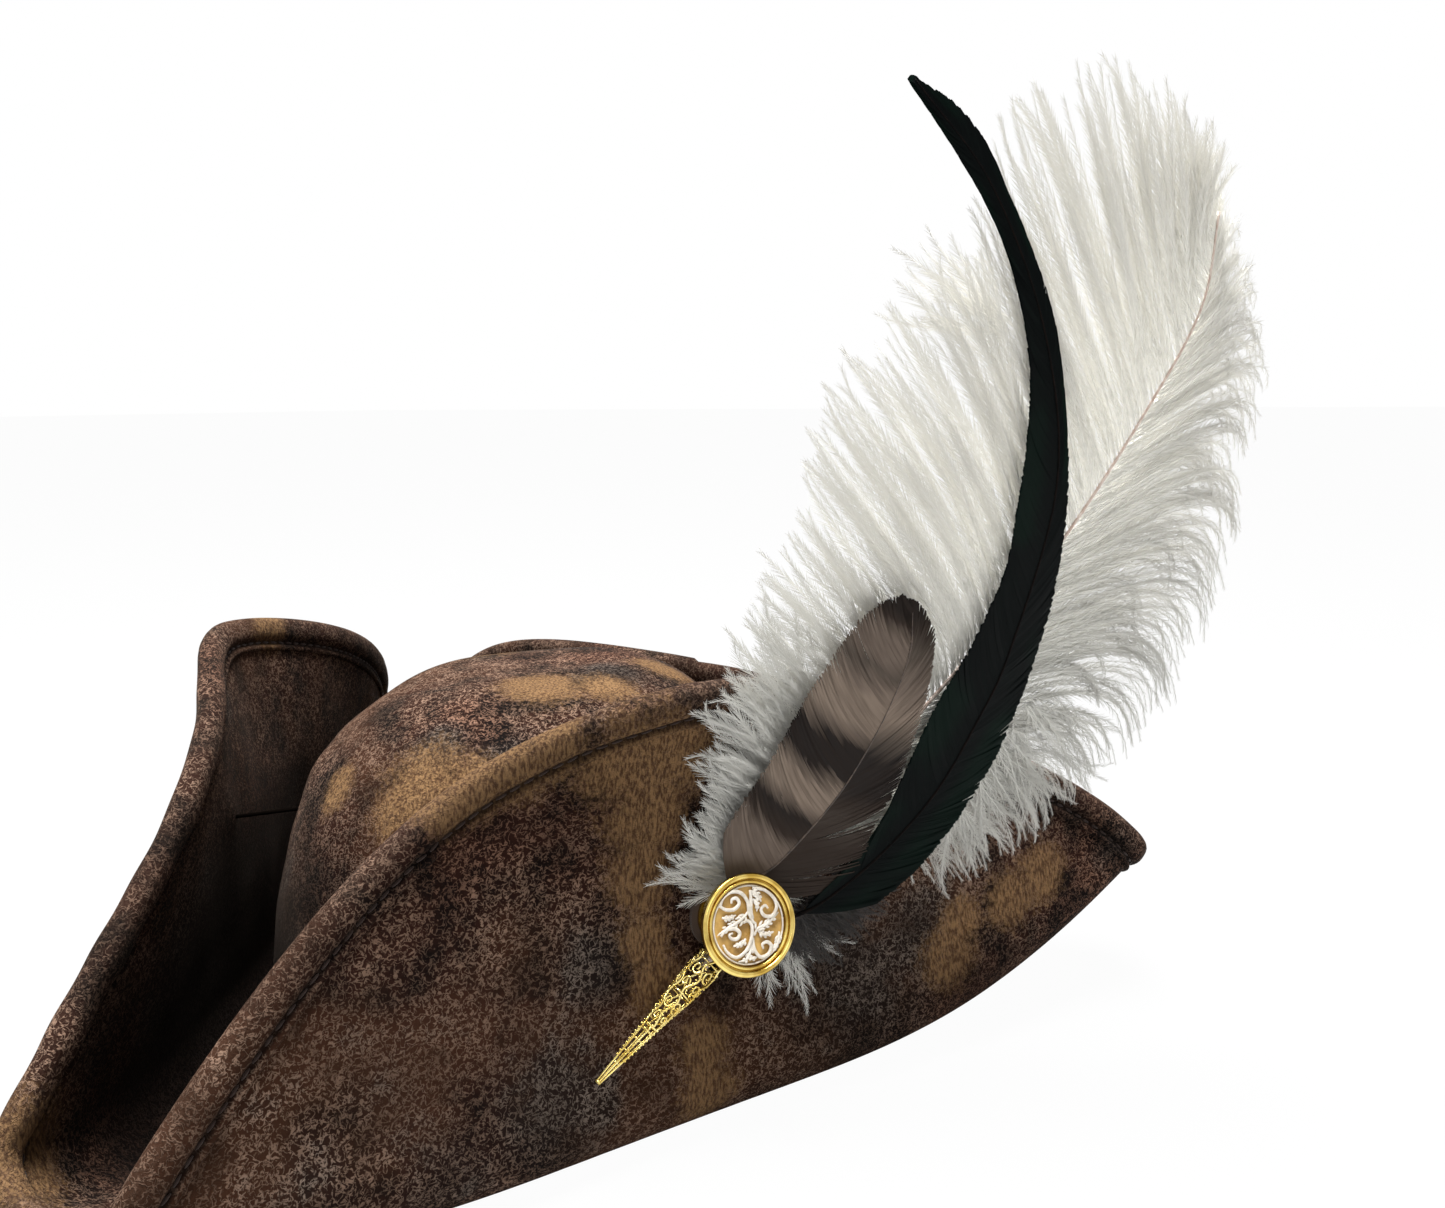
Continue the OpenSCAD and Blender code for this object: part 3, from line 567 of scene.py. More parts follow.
def brim_point(azimuth, share):
    """The middle of the brim's cloth, by azimuth and share of the way from the crown to the edge."""
    a = wrapped(azimuth)
    r = mix(seat_r(a), pattern_r(a), share)
    px, py = r * sind(a), -r * cosd(a)
    left, right = (folded(px, py, middle, *FRONT_FLAP) for middle in (FLAP_MID, -FLAP_MID))
    back = folded(px, py, 180, *BACK_FLAP)
    front = mix(right, left, ease((a + CORNER_BLEND) / (2 * CORNER_BLEND))[..., None])
    return mix(front, back, ease((np.abs(a) - BACK_CORNER + CORNER_BLEND) / (2 * CORNER_BLEND))[..., None])


def brim_normal(a, s):
    """The side of the brim that faces up on the flat, and in on a flap."""
    s = np.maximum(s, 0.02)
    du = brim_point(a, s) - brim_point(a, s - 0.01)
    dv = brim_point(a + 0.5, s) - brim_point(a - 0.5, s)
    return -unit(np.cross(dv, du))


def fold_share(azimuth, end):
    """Share of the brim's width where its fold starts (0) or ends (1)."""
    a = wrapped(azimuth)
    front = np.abs(a) < BACK_CORNER
    middle = np.where(front, np.where(a < 0, -FLAP_MID, FLAP_MID), 180)
    line = np.where(front, FRONT_FLAP[0], BACK_FLAP[0])
    r = (line + (end - 0.5) * FOLD_R * CORNER_FOLD * np.pi / 180) / np.maximum(0.2, cosd(a - middle))
    return (r - seat_r(a)) / (pattern_r(a) - seat_r(a))


def azimuths(steps):
    """Stations round the hat, closer together at the three corners."""
    ends = [0, BACK_CORNER, 360 - BACK_CORNER, 360]
    t = np.arange(steps) / steps
    t = t - 0.4 * np.sin(2 * np.pi * t) / (2 * np.pi)
    return np.concatenate([mix(lo, hi, t) for lo, hi in zip(ends, ends[1:])])


def brim_shares(a, flat=5, bend=14, rest=24):
    """Shares of the brim's width at each station, with their steps on the flat, the fold and the flap."""
    s1 = np.clip(fold_share(a, 0), 0.04, 0.55)
    s2 = np.maximum(s1 + 0.1, np.minimum(0.8, fold_share(a, 1)))
    rows = [s1 * j / flat for j in range(flat)]
    rows += [mix(s1, s2, j / bend) for j in range(bend)]
    rows += [mix(s2, 1, j / rest) for j in range(rest + 1)]
    return np.stack(rows, -1)


def cloth_drift(points, a, s):
    """How far the brim cloth strays from its rule: soft waves, and a dent where a tack pulls it."""
    brooch = brim_point(np.array(BROOCH_AZIMUTH), np.array(BROOCH_SHARE))
    calm = 1 - bell(distance(points, brooch) / BROOCH_CALM)
    free = ease((s - fold_share(a, 0.6)) / 0.3) * calm * mix(1, 0.3, ease((s - 0.8) / 0.2))
    drift = free * (0.8 * slow_waves(points, 70, 3) + 0.35 * slow_waves(points, 24, 4))
    for tack_a, tack_s in TACKS:
        place = brim_point(np.array(float(tack_a)), np.array(tack_s))
        drift = drift + TACK_DENT * bell(distance(points, place) / TACK_SPREAD)
    return drift


def soft_brim(a, s):
    points, normals = brim_point(a, s), brim_normal(a, s)
    return points + normals * cloth_drift(points, a, s)[..., None], normals


def crown_point(a, turn, inset=0, height=CROWN_H):
    """The dome, by azimuth and by a turn from the brim (0) to the top (half pi)."""
    u = np.sin(turn) ** (2 / 2.7)
    k = np.cos(turn) ** (2 / 3.5) * (1 - 0.03 * u)
    r = oval_r(a, CROWN_W / 2 - inset, CROWN_L / 2 - inset) * k
    return np.stack(np.broadcast_arrays(r * sind(a), -r * cosd(a), height * u), -1)


# Worn places: where the tan shows, and where stains and painted shade lie, as centre and radius
TAN_PLACES = [
    (84, -60, 122, 15), (77, -68, 119, 11), (92, -49, 121, 12), (82, -58, 102, 12), (80, -58, 84, 10),
    (80, -58, 64, 8), (82, -56, 50, 8), (93, -46, 30, 8), (93, -47, 15, 9), (61, -87, 121, 9), (69, -79, 125, 9),
    (53, -96, 116, 8), (47, -102, 111, 6), (138, 36, 32, 10), (141, 42, 42, 8), (152, 58, 46, 9), (160, 72, 52, 9),
    (-23, -181, 34, 14), (-100, -30, 134, 8), (16, -74, 101, 15), (28, -66, 103, 10), (-20, -74, 98, 7),
    (20, -22, 124, 13), (34, -8, 123, 10)]
# Stains, and painted shade: the places low on the front flap make it darker towards the bottom
STAIN_AND_SHADE_PLACES = [
    (72, -71, 60, 15), (70, -87, 26, 22), (120, 4, 34, 30), (131, 26, 44, 22), (-62, -95, 42, 45),
    (-75, -72, 119, 11), (32, -56, 110, 13), (12, -62, 113, 11), (30, -120, 40, 22), (20, -135, 25, 28),
    (45, -108, 18, 20)]


def scattered_places():
    """More worn places on the sides that the photograph doesn't show."""
    rng = np.random.default_rng(12)
    tan, stain_and_shade = [], []
    for count, turns, shares, widest, point in ((34, (112, 262), (0.25, 1), 20, brim_point),
                                                (14, (70, 320), (0.5, 1.5), 17, crown_point)):
        for k in range(count):
            a, s = rng.uniform(*turns), rng.uniform(*shares)
            place = point(np.array(a), np.array(s))
            (tan if k % 2 else stain_and_shade).append((*place, rng.uniform(9, widest)))
    return TAN_PLACES + tan, STAIN_AND_SHADE_PLACES + stain_and_shade


tan_places, stain_and_shade_places = scattered_places()


def nearness(points, places):
    """Above 0 inside a worn place, below it outside."""
    best = np.full(len(points), -1.0)
    for *centre, radius in places:
        best = np.maximum(best, 1 - distance(points, np.array(centre)) / radius)
    return best


def wear_and_shade(points, rub=0.0, painted_shade=0.0):
    """Fields for the suede finish."""
    flat = np.asarray(points).reshape(-1, 3)
    return {"tan": nearness(flat, tan_places), "stain_and_shade": nearness(flat, stain_and_shade_places),
            "rub": np.broadcast_to(rub, len(flat)), "painted_shade": np.broadcast_to(painted_shade, len(flat))}


# Crown, lining and sweatband

def dome(name, inset, thick, height, finish, around=240, rise=64, soft=0.0, worn_and_shaded=False):
    a = np.arange(around) * 360 / around
    turn = np.pi / 2 * (1 - (1 - np.linspace(0, 1, rise)[:-1]) ** 1.75)
    outer = crown_point(a[None, :], turn[:, None], inset, height)
    inner = crown_point(a[None, :], turn[:, None], inset + thick, height - thick)
    if worn_and_shaded:
        outer[0] += FOOT_FLARE * unit(outer[0])
    lift = ease(turn / 0.5)[:, None, None] * unit(outer - [0, 0, 30])
    outer = outer + lift * (soft * slow_waves(outer, 60, 8) + 0.4 * soft * slow_waves(outer, 26, 9))[..., None]
    n = rise - 1
    tops = [[0, 0, height], [0, 0, height - thick]]
    points = np.concatenate([outer.reshape(-1, 3), inner.reshape(-1, 3), tops])
    top, low, half = len(points) - 2, len(points) - 1, n * around
    faces = [*grid_faces(n, around, cols_meet=True), *grid_faces(n, around, cols_meet=True, first=half)[:, ::-1]]
    last = half - around
    for k in range(around):
        m = (k + 1) % around
        faces += [[last + k, last + m, top], [half + last + m, half + last + k, low], [m, k, half + k, half + m]]
    # Painted shade, darkest low on the crown and fading out further up
    fields = wear_and_shade(points, painted_shade=ease((CROWN_SHADE_TOP - points[:, 2]) / CROWN_SHADE_FADE)) if worn_and_shaded else {}
    return new_piece(name, points, faces, finish, **fields)


crown = settle(dome("crown", 0, CROWN_T, CROWN_H, suede, soft=0.9, worn_and_shaded=True), "hat", "crown_shell")
settle(dome("lining", LINING_INSET, LINING_T, LINING_H, lining_cloth, around=160, rise=40),
       "hat", "crown_lining")


def sweatband_ring(around=300):
    """A band with a rolled top edge, standing inside the lining."""
    a = np.arange(around) * 360 / around
    profile = [(0, 0.4), (0, 33), (0.25, 34), (0.9, 34.3), (1.5, 34), (1.7, 33.2), (1.25, 32.6), (1.2, 1),
               (1.1, 0.2), (0.6, 0), (0.1, 0.1)]
    rings = []
    for depth, z in profile:
        r = oval_r(a, CROWN_W / 2 - BAND_INSET - depth, CROWN_L / 2 - BAND_INSET - depth)
        rings.append(np.stack([r * sind(a), -r * cosd(a), np.full(around, z)], -1))
    return new_piece("sweatband_ring", np.concatenate(rings), grid_faces(len(profile), around, True, True), band_cloth)


settle(sweatband_ring(), "hat", "sweatband")

# Brim cloth, hem and stitching
ring_a = azimuths(150)
ring_s = brim_shares(ring_a)
brim_mid, brim_n = soft_brim(np.broadcast_to(ring_a[:, None], ring_s.shape), ring_s)


def brim_cover(name, low, high, painted_shade):
    """One layer of the brim's cloth, with painted shade gathered towards the crown."""
    rows, cols = ring_s.shape
    both = np.concatenate([brim_mid + low * brim_n, (brim_mid + high * brim_n)[:, ::-1]], 1)
    shares = np.concatenate([ring_s, ring_s[:, ::-1]], 1).ravel()
    fields = wear_and_shade(both, painted_shade=painted_shade * ease((BRIM_SHADE_END - shares) / BRIM_SHADE_FADE))
    return new_piece(name, both.reshape(-1, 3), grid_faces(rows, 2 * cols, True, True), suede, **fields)


# Painted shade only on the upper cover, which is the inside of the flaps and the top of the flat brim
under_cover = settle(brim_cover("brim_under_cover", -BRIM_FACE, -PLAY / 2, 0), "hat", "brim_under")
upper_cover = settle(brim_cover("brim_upper_cover", PLAY / 2, BRIM_FACE, 1), "hat", "brim_upper")

EDGE_GAP, STITCH_X, STITCH_PITCH = 0.6, -6.5, 4.2
edge_a = azimuths(320)
edge_p, edge_n = soft_brim(edge_a, np.ones_like(edge_a))
edge_out = unit(edge_p - soft_brim(edge_a, np.full_like(edge_a, 0.975))[0])
edge_up = unit(edge_n - np.sum(edge_n * edge_out, -1, keepdims=True) * edge_out)


def edge_at(x, y):
    """Points along the brim's edge: x outwards along the cloth, y square to it."""
    return edge_p + (x + EDGE_GAP) * edge_out + np.reshape(y, (-1, 1)) * edge_up


def hem_strip():
    """A strip folded round the wired edge: a full roll, and a groove where the stitches pull it in."""
    face = [(-9.6, 1.65), (-9.4, 2.3), (-8.7, 2.9), (-7.9, 2.85), (-7.3, 2.2), (-6.9, 1.75), (-6.1, 1.75), (-5.6, 2.3),
            (-5.1, 3.2), (-4.1, 3.8), (-2.9, 4.0), (-1.7, 3.95), (-0.5, 3.75)]
    nose = [(3.2 * cosd(t), 3.5 * sind(t)) for t in (75, 55, 35, 18, 0, -18, -35, -55, -75)]
    outside = face + nose + [(x, -y) for x, y in face[::-1]]
    inside = [(0.3, -1.7), (1.6, 0), (0.3, 1.7)]
    profile = outside + inside
    count = len(edge_a)
    pucker = 0.5 + 0.5 * np.cos(2 * np.pi * run_of(edge_p) / STITCH_PITCH)
    fat = 1 + 0.08 * slow_waves(edge_p, 22, 21)
    rings = [edge_at(x, y * fat + np.sign(y) * bell((x - STITCH_X) / 0.7) * 0.35 * pucker) for x, y in outside]
    points = np.stack(rings + [edge_at(x, y) for x, y in inside], 1)
    patchy = 0.4 + 0.6 * ease(slow_waves(edge_p, 60, 22))
    rub = np.stack([0.12 * bell((x - 1.6) / 2.6) * patchy for x, y in profile], 1)
    # Painted shade in the stitch groove, over a slight darkening of the whole hem
    painted_shade = np.tile([0.2 + 0.8 * bell(x - STITCH_X) for x, y in profile], count)
    return new_piece("hem_strip", points.reshape(-1, 3), grid_faces(count, len(profile), True, True), suede,
                     **wear_and_shade(points, rub.ravel(), painted_shade))


hem = settle(hem_strip(), "hat", "brim_hem")


def beads_along_path():
    """Rounded beads or stitches, set along paths at an even pitch."""
    n, given = growth_tree("beads_along_path", {"Pitch": 0.004, "Bead Length": 0.003, "Bead Width": 0.0006,
                                                "Uneven": 0.1, "Seed": 5})
    path = n.first("GeometryNodeMeshToCurve", {"Mesh": given["Geometry"]})
    bead = n.first("GeometryNodeMeshIcoSphere", {"Radius": 0.5, "Subdivisions": 2})
    ahead = n.first("GeometryNodeInputTangent")
    ahead = n.vector("ADD", ahead, n.stretched(n.stray(given["Seed"]), given["Uneven"]))
    size = n.joined(given["Bead Length"], given["Bead Width"], given["Bead Width"])
    beads = n.copies(n.spots(path, given["Pitch"]), bead, n.aimed(ahead), size)
    return n.close(beads, given["Finish"])


bead_tree = beads_along_path()
stitch_lines = [edge_at(STITCH_X, side * 1.9) for side in (-1, 1)]
hem_stitches = grown("hem_stitches", path_mesh("stitch_lines", stitch_lines, meet=True), bead_tree,
                     pitch=STITCH_PITCH * MM, bead_length=0.0033, bead_width=0.0008, uneven=0.12, seed=5,
                     finish=dark_thread)
settle(hem_stitches, "hat", "hem_thread")
for node, finish in (("brim_wire", spring_wire), ("flap_tacks", tack_thread), ("pin_pad", felt), ("pin_base", gold),
                     ("pin_clutch", gold), ("quill_binding", wrapping), ("button_shank", gold)):
    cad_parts[node].data.materials.clear()
    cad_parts[node].data.materials.append(finish)

# Brooch frame: x along the feathers, y up and to the front, z out of the flap
brooch_place = np.array([BROOCH_AZIMUTH]), np.array([BROOCH_SHARE])
flap_n = -brim_normal(*brooch_place)[0]
flap_up = unit(np.array([0, 0, 1]) - flap_n[2] * flap_n)
flap_side = np.cross(flap_up, flap_n)
flap_axes = np.stack([flap_side, flap_up, flap_n])
brooch_origin = brim_point(*brooch_place)[0] + BRIM_FACE * flap_n
spray_axes = np.stack([cosd(SPRAY_ANGLE) * flap_side + sind(SPRAY_ANGLE) * flap_up,
                       -sind(SPRAY_ANGLE) * flap_side + cosd(SPRAY_ANGLE) * flap_up, flap_n])
spray_normal = np.array([-sind(LEAN), 0, cosd(LEAN)])
QUILL_Z, LEAN_FROM = 5, 14


def from_spray(q):
    return brooch_origin + np.asarray(q, float) @ spray_axes


def lean_z(x):
    return QUILL_Z + np.tan(np.radians(LEAN)) * np.maximum(0, np.asarray(x) - LEAN_FROM)


CELL, CELLS_FROM, CELLS = 3, -150, 120


def cell_of(flat):
    cells = np.clip(((flat - CELLS_FROM) / CELL).astype(int), 0, CELLS - 1)
    return cells[..., 0], cells[..., 1]


def flap_heights():
    """Height of the flap's outer face over the brooch frame, on a grid."""
    a, s = np.meshgrid(np.arange(10, 130, 0.5), np.arange(0.1, 1.01, 0.01), indexing="ij")
    q = (brim_point(a, s) - (BRIM_T + 1.2) * brim_normal(a, s) - brooch_origin).reshape(-1, 3) @ spray_axes.T
    grid = np.full((CELLS, CELLS), -60.0)
    np.maximum.at(grid, cell_of(q[:, :2]), q[:, 2])
    return grid


flap_grid = flap_heights()


def clear_of_flap(flat, z, room):
    """Paths in the brooch frame, lifted where they would come too close to the flap."""
    return np.concatenate([flat, np.maximum(z, flap_grid[cell_of(flat)] + room)[..., None]], -1)


# Feather lines and outlines in the brooch frame
plume_line = smooth_line([(-5.7, -2.7), (12, -3.4), (40, -4), (70, -3), (111, 0), (143, 5), (178, 15), (205, 26),
                          (222, 44)])
plume_left_edge = [
    (6, 18), (9, 27), (21, 33), (34, 43), (47, 52), (60, 60), (76, 69), (90, 72), (100, 80), (112, 88), (125, 96),
    (137, 97), (151, 90), (165, 88), (175, 96), (183, 107), (198, 108), (210, 103), (222, 86), (227, 70), (226, 54)]
plume_right_edge = [(50, -68), (64, -76), (95, -80), (128, -81), (158, -69), (182, -51), (199, -30), (212, -16),
                    (222, 9), (227, 30), (228, 52)]
coque_points = [(-5.7, -5.1, 0), (3, -11, 1), (10, -18.5, 3), (20, -23.5, 4.4), (40, -26.5, 4.4), (63, -25, 4.4),
                (86, -17, 4.4), (106, -7, 4.4), (143, 22, 4.8), (163, 59, 6), (172, 101, 8), (170, 135, 10)]
coque_left_edge = [
    (10, -19), (20, -22), (30, -23), (39, -21), (50, -17), (64, -9), (80, -1), (92, 3), (101, 6), (119, 15),
    (131, 27), (146, 43), (156, 56), (163, 71), (168, 87), (170, 104), (170, 121), (170, 136)]
coque_right_edge = [
    (9, -24), (18, -33), (30, -39), (45, -41), (58, -40), (72, -37), (86, -32), (98, -25.5), (113, -16), (127, -5),
    (143, 13), (155, 32), (168, 58), (173, 77), (176, 97), (178, 111), (176, 124), (170, 136)]
barred_points = [(-5.7, -0.3, 0), (0, 3, 0.5), (10, 2.6, 2.6), (20, 0, 4.6), (40, 3, 7.2), (54, 7, 8.2),
                 (70, 13.5, 8.6), (84, 22, 9), (92, 31, 9)]
barred_left_edge = [(3, 14), (9, 18), (16, 20), (23, 22.5), (38, 27.5), (52, 33), (61, 36), (70, 38), (77, 40),
                    (83, 40.5), (89, 39.5), (94, 36)]
barred_right_edge = [(8, -14), (16, -22), (24, -25), (33, -23), (41, -17.5), (48, -14), (57, -10), (64, -5.5), (72, 0),
                     (80, 6), (87, 12.5), (92, 18), (95, 23.5), (96, 30), (94, 36)]


def tube(path, radii, sides, face, squash=1.0):
    """Points and faces of a round or flattened tube along a path, closed at both ends."""
    n = len(path)
    radii = np.broadcast_to(radii, n)[:, None, None]
    ahead = unit(np.gradient(path, axis=0))
    across = unit(np.cross(np.broadcast_to(face, path.shape), ahead))
    out = np.cross(ahead, across)
    t = (np.arange(sides) * 2 * np.pi / sides)[None, :, None]
    rings = path[:, None] + radii * (np.cos(t) * across[:, None] + squash * np.sin(t) * out[:, None])
    ends = range(sides), range((n - 1) * sides, n * sides)[::-1]
    return rings.reshape(-1, 3), [*grid_faces(n, sides, cols_meet=True)[:, ::-1], *ends]


def gathered(parts):
    """Several meshes as one list of points and faces."""
    points, faces, first = [], [], 0
    for p, f in parts:
        points.append(p)
        faces += [[int(v) + first for v in face] for face in f]
        first += len(p)
    return np.concatenate(points), faces


def brooch_piece(name, points, faces, finish, node):
    return settle(new_piece(name, points, faces, finish), "brooch", node)


def shaft_piece(name, line, quill_r, tip_share, finish, node, steps=90):
    """The bare quill in its binding and the tapering shaft beyond it."""
    line = along_line(np.concatenate([[[-16, line[0, 1], QUILL_Z]], line]), steps)
    radii = quill_r * mix(0.94, tip_share, np.linspace(0, 1, steps)) * mix(1, 0.7, ease((line[:, 0] - 4) / 20))
    points, faces = tube(line, radii, 10, spray_normal)
    return brooch_piece(name, from_spray(points), faces, finish, node)


def lifted(points):
    line = np.array(points, float)
    line[:, 2] += lean_z(line[:, 0])
    return smooth_line(line)


plume_shaft_line = np.column_stack([plume_line, lean_z(plume_line[:, 0])])
coque_line, barred_line = lifted(coque_points), lifted(barred_points)
shaft_piece("plume_shaft_quill", plume_shaft_line, 1.1, 0.35, quill_horn, "plume_shaft")
shaft_piece("coque_shaft_quill", coque_line, 0.8, 0.3, coque_shaft_horn, "coque_shaft")
shaft_piece("barred_shaft_quill", barred_line, 0.6, 0.25, barred_shaft_horn, "barred_shaft")


def barbs_with_barbules():
    """Thin barbs along their paths, each with two rows of fine barbules that point to its tip."""
    n, given = growth_tree("barbs_with_barbules", {
        "Barb Radius": 0.00012, "Barbule Length": 0.005, "Barbule Width": 0.0002, "Barbule Pitch": 0.001,
        "Barbule Angle": 0.6, "Stray": 0.17, "Seed": 2})
    paths = n.first("GeometryNodeMeshToCurve", {"Mesh": given["Geometry"]})
    ring = n.first("GeometryNodeCurvePrimitiveCircle", {"Resolution": 3, "Radius": 1.0})
    thick = n.times(n.read("taper"), given["Barb Radius"])
    stems = n.first("GeometryNodeCurveToMesh", {"Curve": paths, "Profile Curve": ring, "Scale": thick})
    spots = n.spots(paths, given["Barbule Pitch"])
    strip, run, off = n.strip(2)
    curl = n.times(n.times(run, run), -0.22)
    strip = n.moved(strip, Position=n.joined(run, n.times(off, n.times(run, -0.8, 1.0)), curl))
    ahead = n.first("GeometryNodeInputTangent")
    facing = n.read("facing", "FLOAT_VECTOR")
    aside = n.vector("NORMALIZE", n.vector("CROSS_PRODUCT", facing, ahead))
    onward = n.stretched(ahead, n.math("COSINE", given["Barbule Angle"]))
    lean = n.math("SINE", given["Barbule Angle"])
    long = n.times(n.read("fluff"), given["Barbule Length"])
    size = n.joined(long, given["Barbule Width"], long)
    all_rows = n.add("GeometryNodeJoinGeometry", {0: stems})
    for k, side in enumerate((1.0, -1.0)):
        stray = n.stray(n.plus(given["Seed"], float(k)))
        way = n.vector("ADD", onward, n.stretched(aside, n.times(lean, side)))
        way = n.vector("ADD", way, n.stretched(stray, given["Stray"]))
        n.link(n.copies(spots, strip, n.aimed(way, facing), size), all_rows.inputs[0])
    return n.close(all_rows.outputs[0], given["Finish"])


barb_tree = barbs_with_barbules()
BARB_POINTS = 14
FIRST_BARB, TUFT_BREAK, TUFT_PULL, TIP_SCATTER = 0.06, 0.22, 0.4, 1.4
RIGHT_CURL = np.array([-0.62, -0.78])


def bowed(root, tip, leave, arrive):
    """Smooth paths from roots to tips that leave and arrive in given directions."""
    t = np.linspace(0, 1, BARB_POINTS)[None, :, None]
    r, p, l, a = (v[:, None] for v in (root, tip, leave, arrive))
    return (r * (2 * t ** 3 - 3 * t ** 2 + 1) + l * (t ** 3 - 2 * t ** 2 + t)
            + p * (3 * t ** 2 - 2 * t ** 3) + a * (t ** 3 - t ** 2))


def turned(v, degrees):
    c, s = cosd(degrees), sind(degrees)
    return np.stack([v[..., 0] * c - v[..., 1] * s, v[..., 0] * s + v[..., 1] * c], -1)


def barb_mesh(name, paths, fluff=1.0, stand=0.25, seed=1):
    """Barb paths in the brooch frame, with their taper, fluff and facing."""
    rng = np.random.default_rng(seed)
    count, n = paths.shape[:2]
    share = np.broadcast_to(np.linspace(0, 1, n), (count, n))
    facing = np.broadcast_to(spray_normal, (count, 1, 3)) + stand * rng.normal(size=(count, 1, 3))
    facing = np.broadcast_to(unit(facing @ spray_axes), (count, n, 3))
    full = fluff * mix(0.75, 1, ease(share * 4)) * mix(1, 0.28, ease((share - 0.62) / 0.38))
    full = full * rng.uniform(0.8, 1.15, (count, 1))
    return path_mesh(name, from_spray(paths), taper=(1.0 - 0.75 * share).ravel(), fluff=full.ravel(),
                     run=share.ravel(), facing=facing.reshape(-1, 3))


# Each side of the plume: its edge, how its tips crowd along it, how far barbs run on at root and tip,
# the lift of their tips, their drop at the foot, and their room over the flap
PLUME_SIDES = {1: (plume_left_edge, 0.86, 0.9, 0.8, 4, 2.5, 2.6), -1: (plume_right_edge, 0.95, 1.1, 1.2, -5, 0, 1.6)}


def plume_paths(side, count, seed, reach=1.0, depth=(1.0, 5.0)):
    """Barbs of one side of the plume: they leave the shaft forwards, bow out, and gather in tufts at their tips."""
    edge, crowd, root_run, tip_run, lift, drop, room = PLUME_SIDES[side]
    rng = np.random.default_rng(seed)
    t = np.sort((np.arange(count) + rng.uniform(-0.4, 0.4, count)) / count).clip(0, 1)
    at = mix(FIRST_BARB, 1, t)
    roots = along_line(plume_line, shares=at)
    ahead = unit(along_line(plume_line, shares=np.minimum(1, at + 0.02)) - along_line(plume_line, shares=at - 0.02))
    tips = along_line(smooth_line(edge), shares=t ** crowd)
    length = reach * (1 + 0.05 * rng.normal(size=count))
    group = np.cumsum(rng.random(count) < TUFT_BREAK)
    for g in range(group.max() + 1):
        tuft = group == g
        if tuft.any():
            tips[tuft] = mix(tips[tuft], tips[tuft].mean(0), TUFT_PULL)
            length[tuft] *= 1 + 0.06 * rng.normal()
    tips = mix(roots, tips, np.clip(length, 0.5, 1.0)[:, None]) + rng.normal(size=(count, 2)) * TIP_SCATTER
    chord = np.linalg.norm(tips - roots, axis=1, keepdims=True)
    way = unit(tips - roots)
    if side > 0:
        leave = turned(ahead, 48 + 6 * rng.normal(size=count))
        arrive = turned(way, 8 + 10 * rng.normal(size=count))
    else:
        leave = turned(ahead, -46 + 6 * rng.normal(size=count))
        arrive = unit(mix(way, RIGHT_CURL, 0.75)) + 0.12 * rng.normal(size=(count, 2))
    flat = bowed(roots, tips, leave * chord * root_run, arrive * chord * tip_run)
    share = np.linspace(0, 1, BARB_POINTS)[None]
    z = lean_z(flat[..., 0]) - mix(0.4, rng.uniform(*depth, count)[:, None], ease(share * 3))
    z = z + share ** 2 * lift + share * 1.6 * np.sin(rng.uniform(0, 6, (count, 1)) + 4 * share)
    z = z - drop * ease((34 - flat[..., 0]) / 20)
    return clear_of_flap(flat, z, room)


def tuft_paths(tufts, seed, each=9):
    """Small fans of loose barbs from a root to a tip."""
    rng = np.random.default_rng(seed)
    count = len(tufts) * each
    root, tip = np.repeat(np.array(tufts, float), each, 0).swapaxes(0, 1)
    root = root + rng.normal(size=(count, 2)) * 1.2
    tip = root + turned(tip - root, 14 * rng.normal(size=count)) * rng.uniform(0.6, 1.05, (count, 1))
    leave, arrive = (turned(tip - root, 18 * rng.normal(size=count)) for _ in range(2))
    flat = bowed(root, tip, leave, arrive)
    z = lean_z(flat[..., 0]) - 2 + rng.uniform(-1, 1.5, (count, 1))
    return clear_of_flap(flat, z, 1.0 + rng.uniform(0, 1.5, (count, 1)))


left_tufts = [((10, -2), (3, 31)), ((12, 0), (6, 33)), ((8, -2), (1, 19)), ((16, 0), (12, 33)), ((14, -2), (14, 28)),
              ((20, 0), (20, 37)), ((30, 4), (32, 44)), ((36, 8), (40, 51)), ((42, 12), (46, 53)), ((48, 15), (54, 57)),
              ((54, 18), (60, 59)), ((60, 21), (67, 64)), ((34, 8), (35, 40))]
loose_tufts = [((158, 63), (157, 107)), ((163, 71), (165, 107)), ((158, 68), (155, 101)), ((162, 66), (164, 99)),
               ((154, 66), (149, 101))]
low_tufts = [((8, -8), (-3, -52)), ((8, -8), (2, -46)), ((10, -8), (-3, -45)), ((67, -31), (55, -72)),
             ((74, -30), (65, -71)), ((70, -30), (58, -62)), ((81, -29), (74, -74)), ((89, -29), (80, -77)),
             ((95, -32), (86, -80)), ((78, -29), (69, -66)), ((103, -32), (94, -80))]
INNER = (-0.2, 2.0)
plume_layers = [
    ("plume_left_barbs", [plume_paths(1, 250, 31)], 3),
    ("plume_left_short_barbs", [plume_paths(1, 120, 32, 0.66, INNER), tuft_paths(left_tufts, 33),
                                tuft_paths(loose_tufts, 35, each=3)], 4),
    ("plume_right_barbs", [plume_paths(-1, 270, 41)], 7),
    ("plume_right_short_barbs", [plume_paths(-1, 120, 42, 0.72, INNER), tuft_paths(low_tufts, 43, each=7)], 8)]
for name, paths, seed in plume_layers:
    barbs = grown(name, barb_mesh(name + "_lines", np.concatenate(paths), seed=seed), barb_tree, barb_radius=0.00018,
                  barbule_length=0.0062, barbule_width=0.0002, barbule_pitch=0.00085, barbule_angle=0.3, stray=0.16,
                  seed=seed, finish=plume_white)
    settle(barbs, "brooch", "plume_vane")


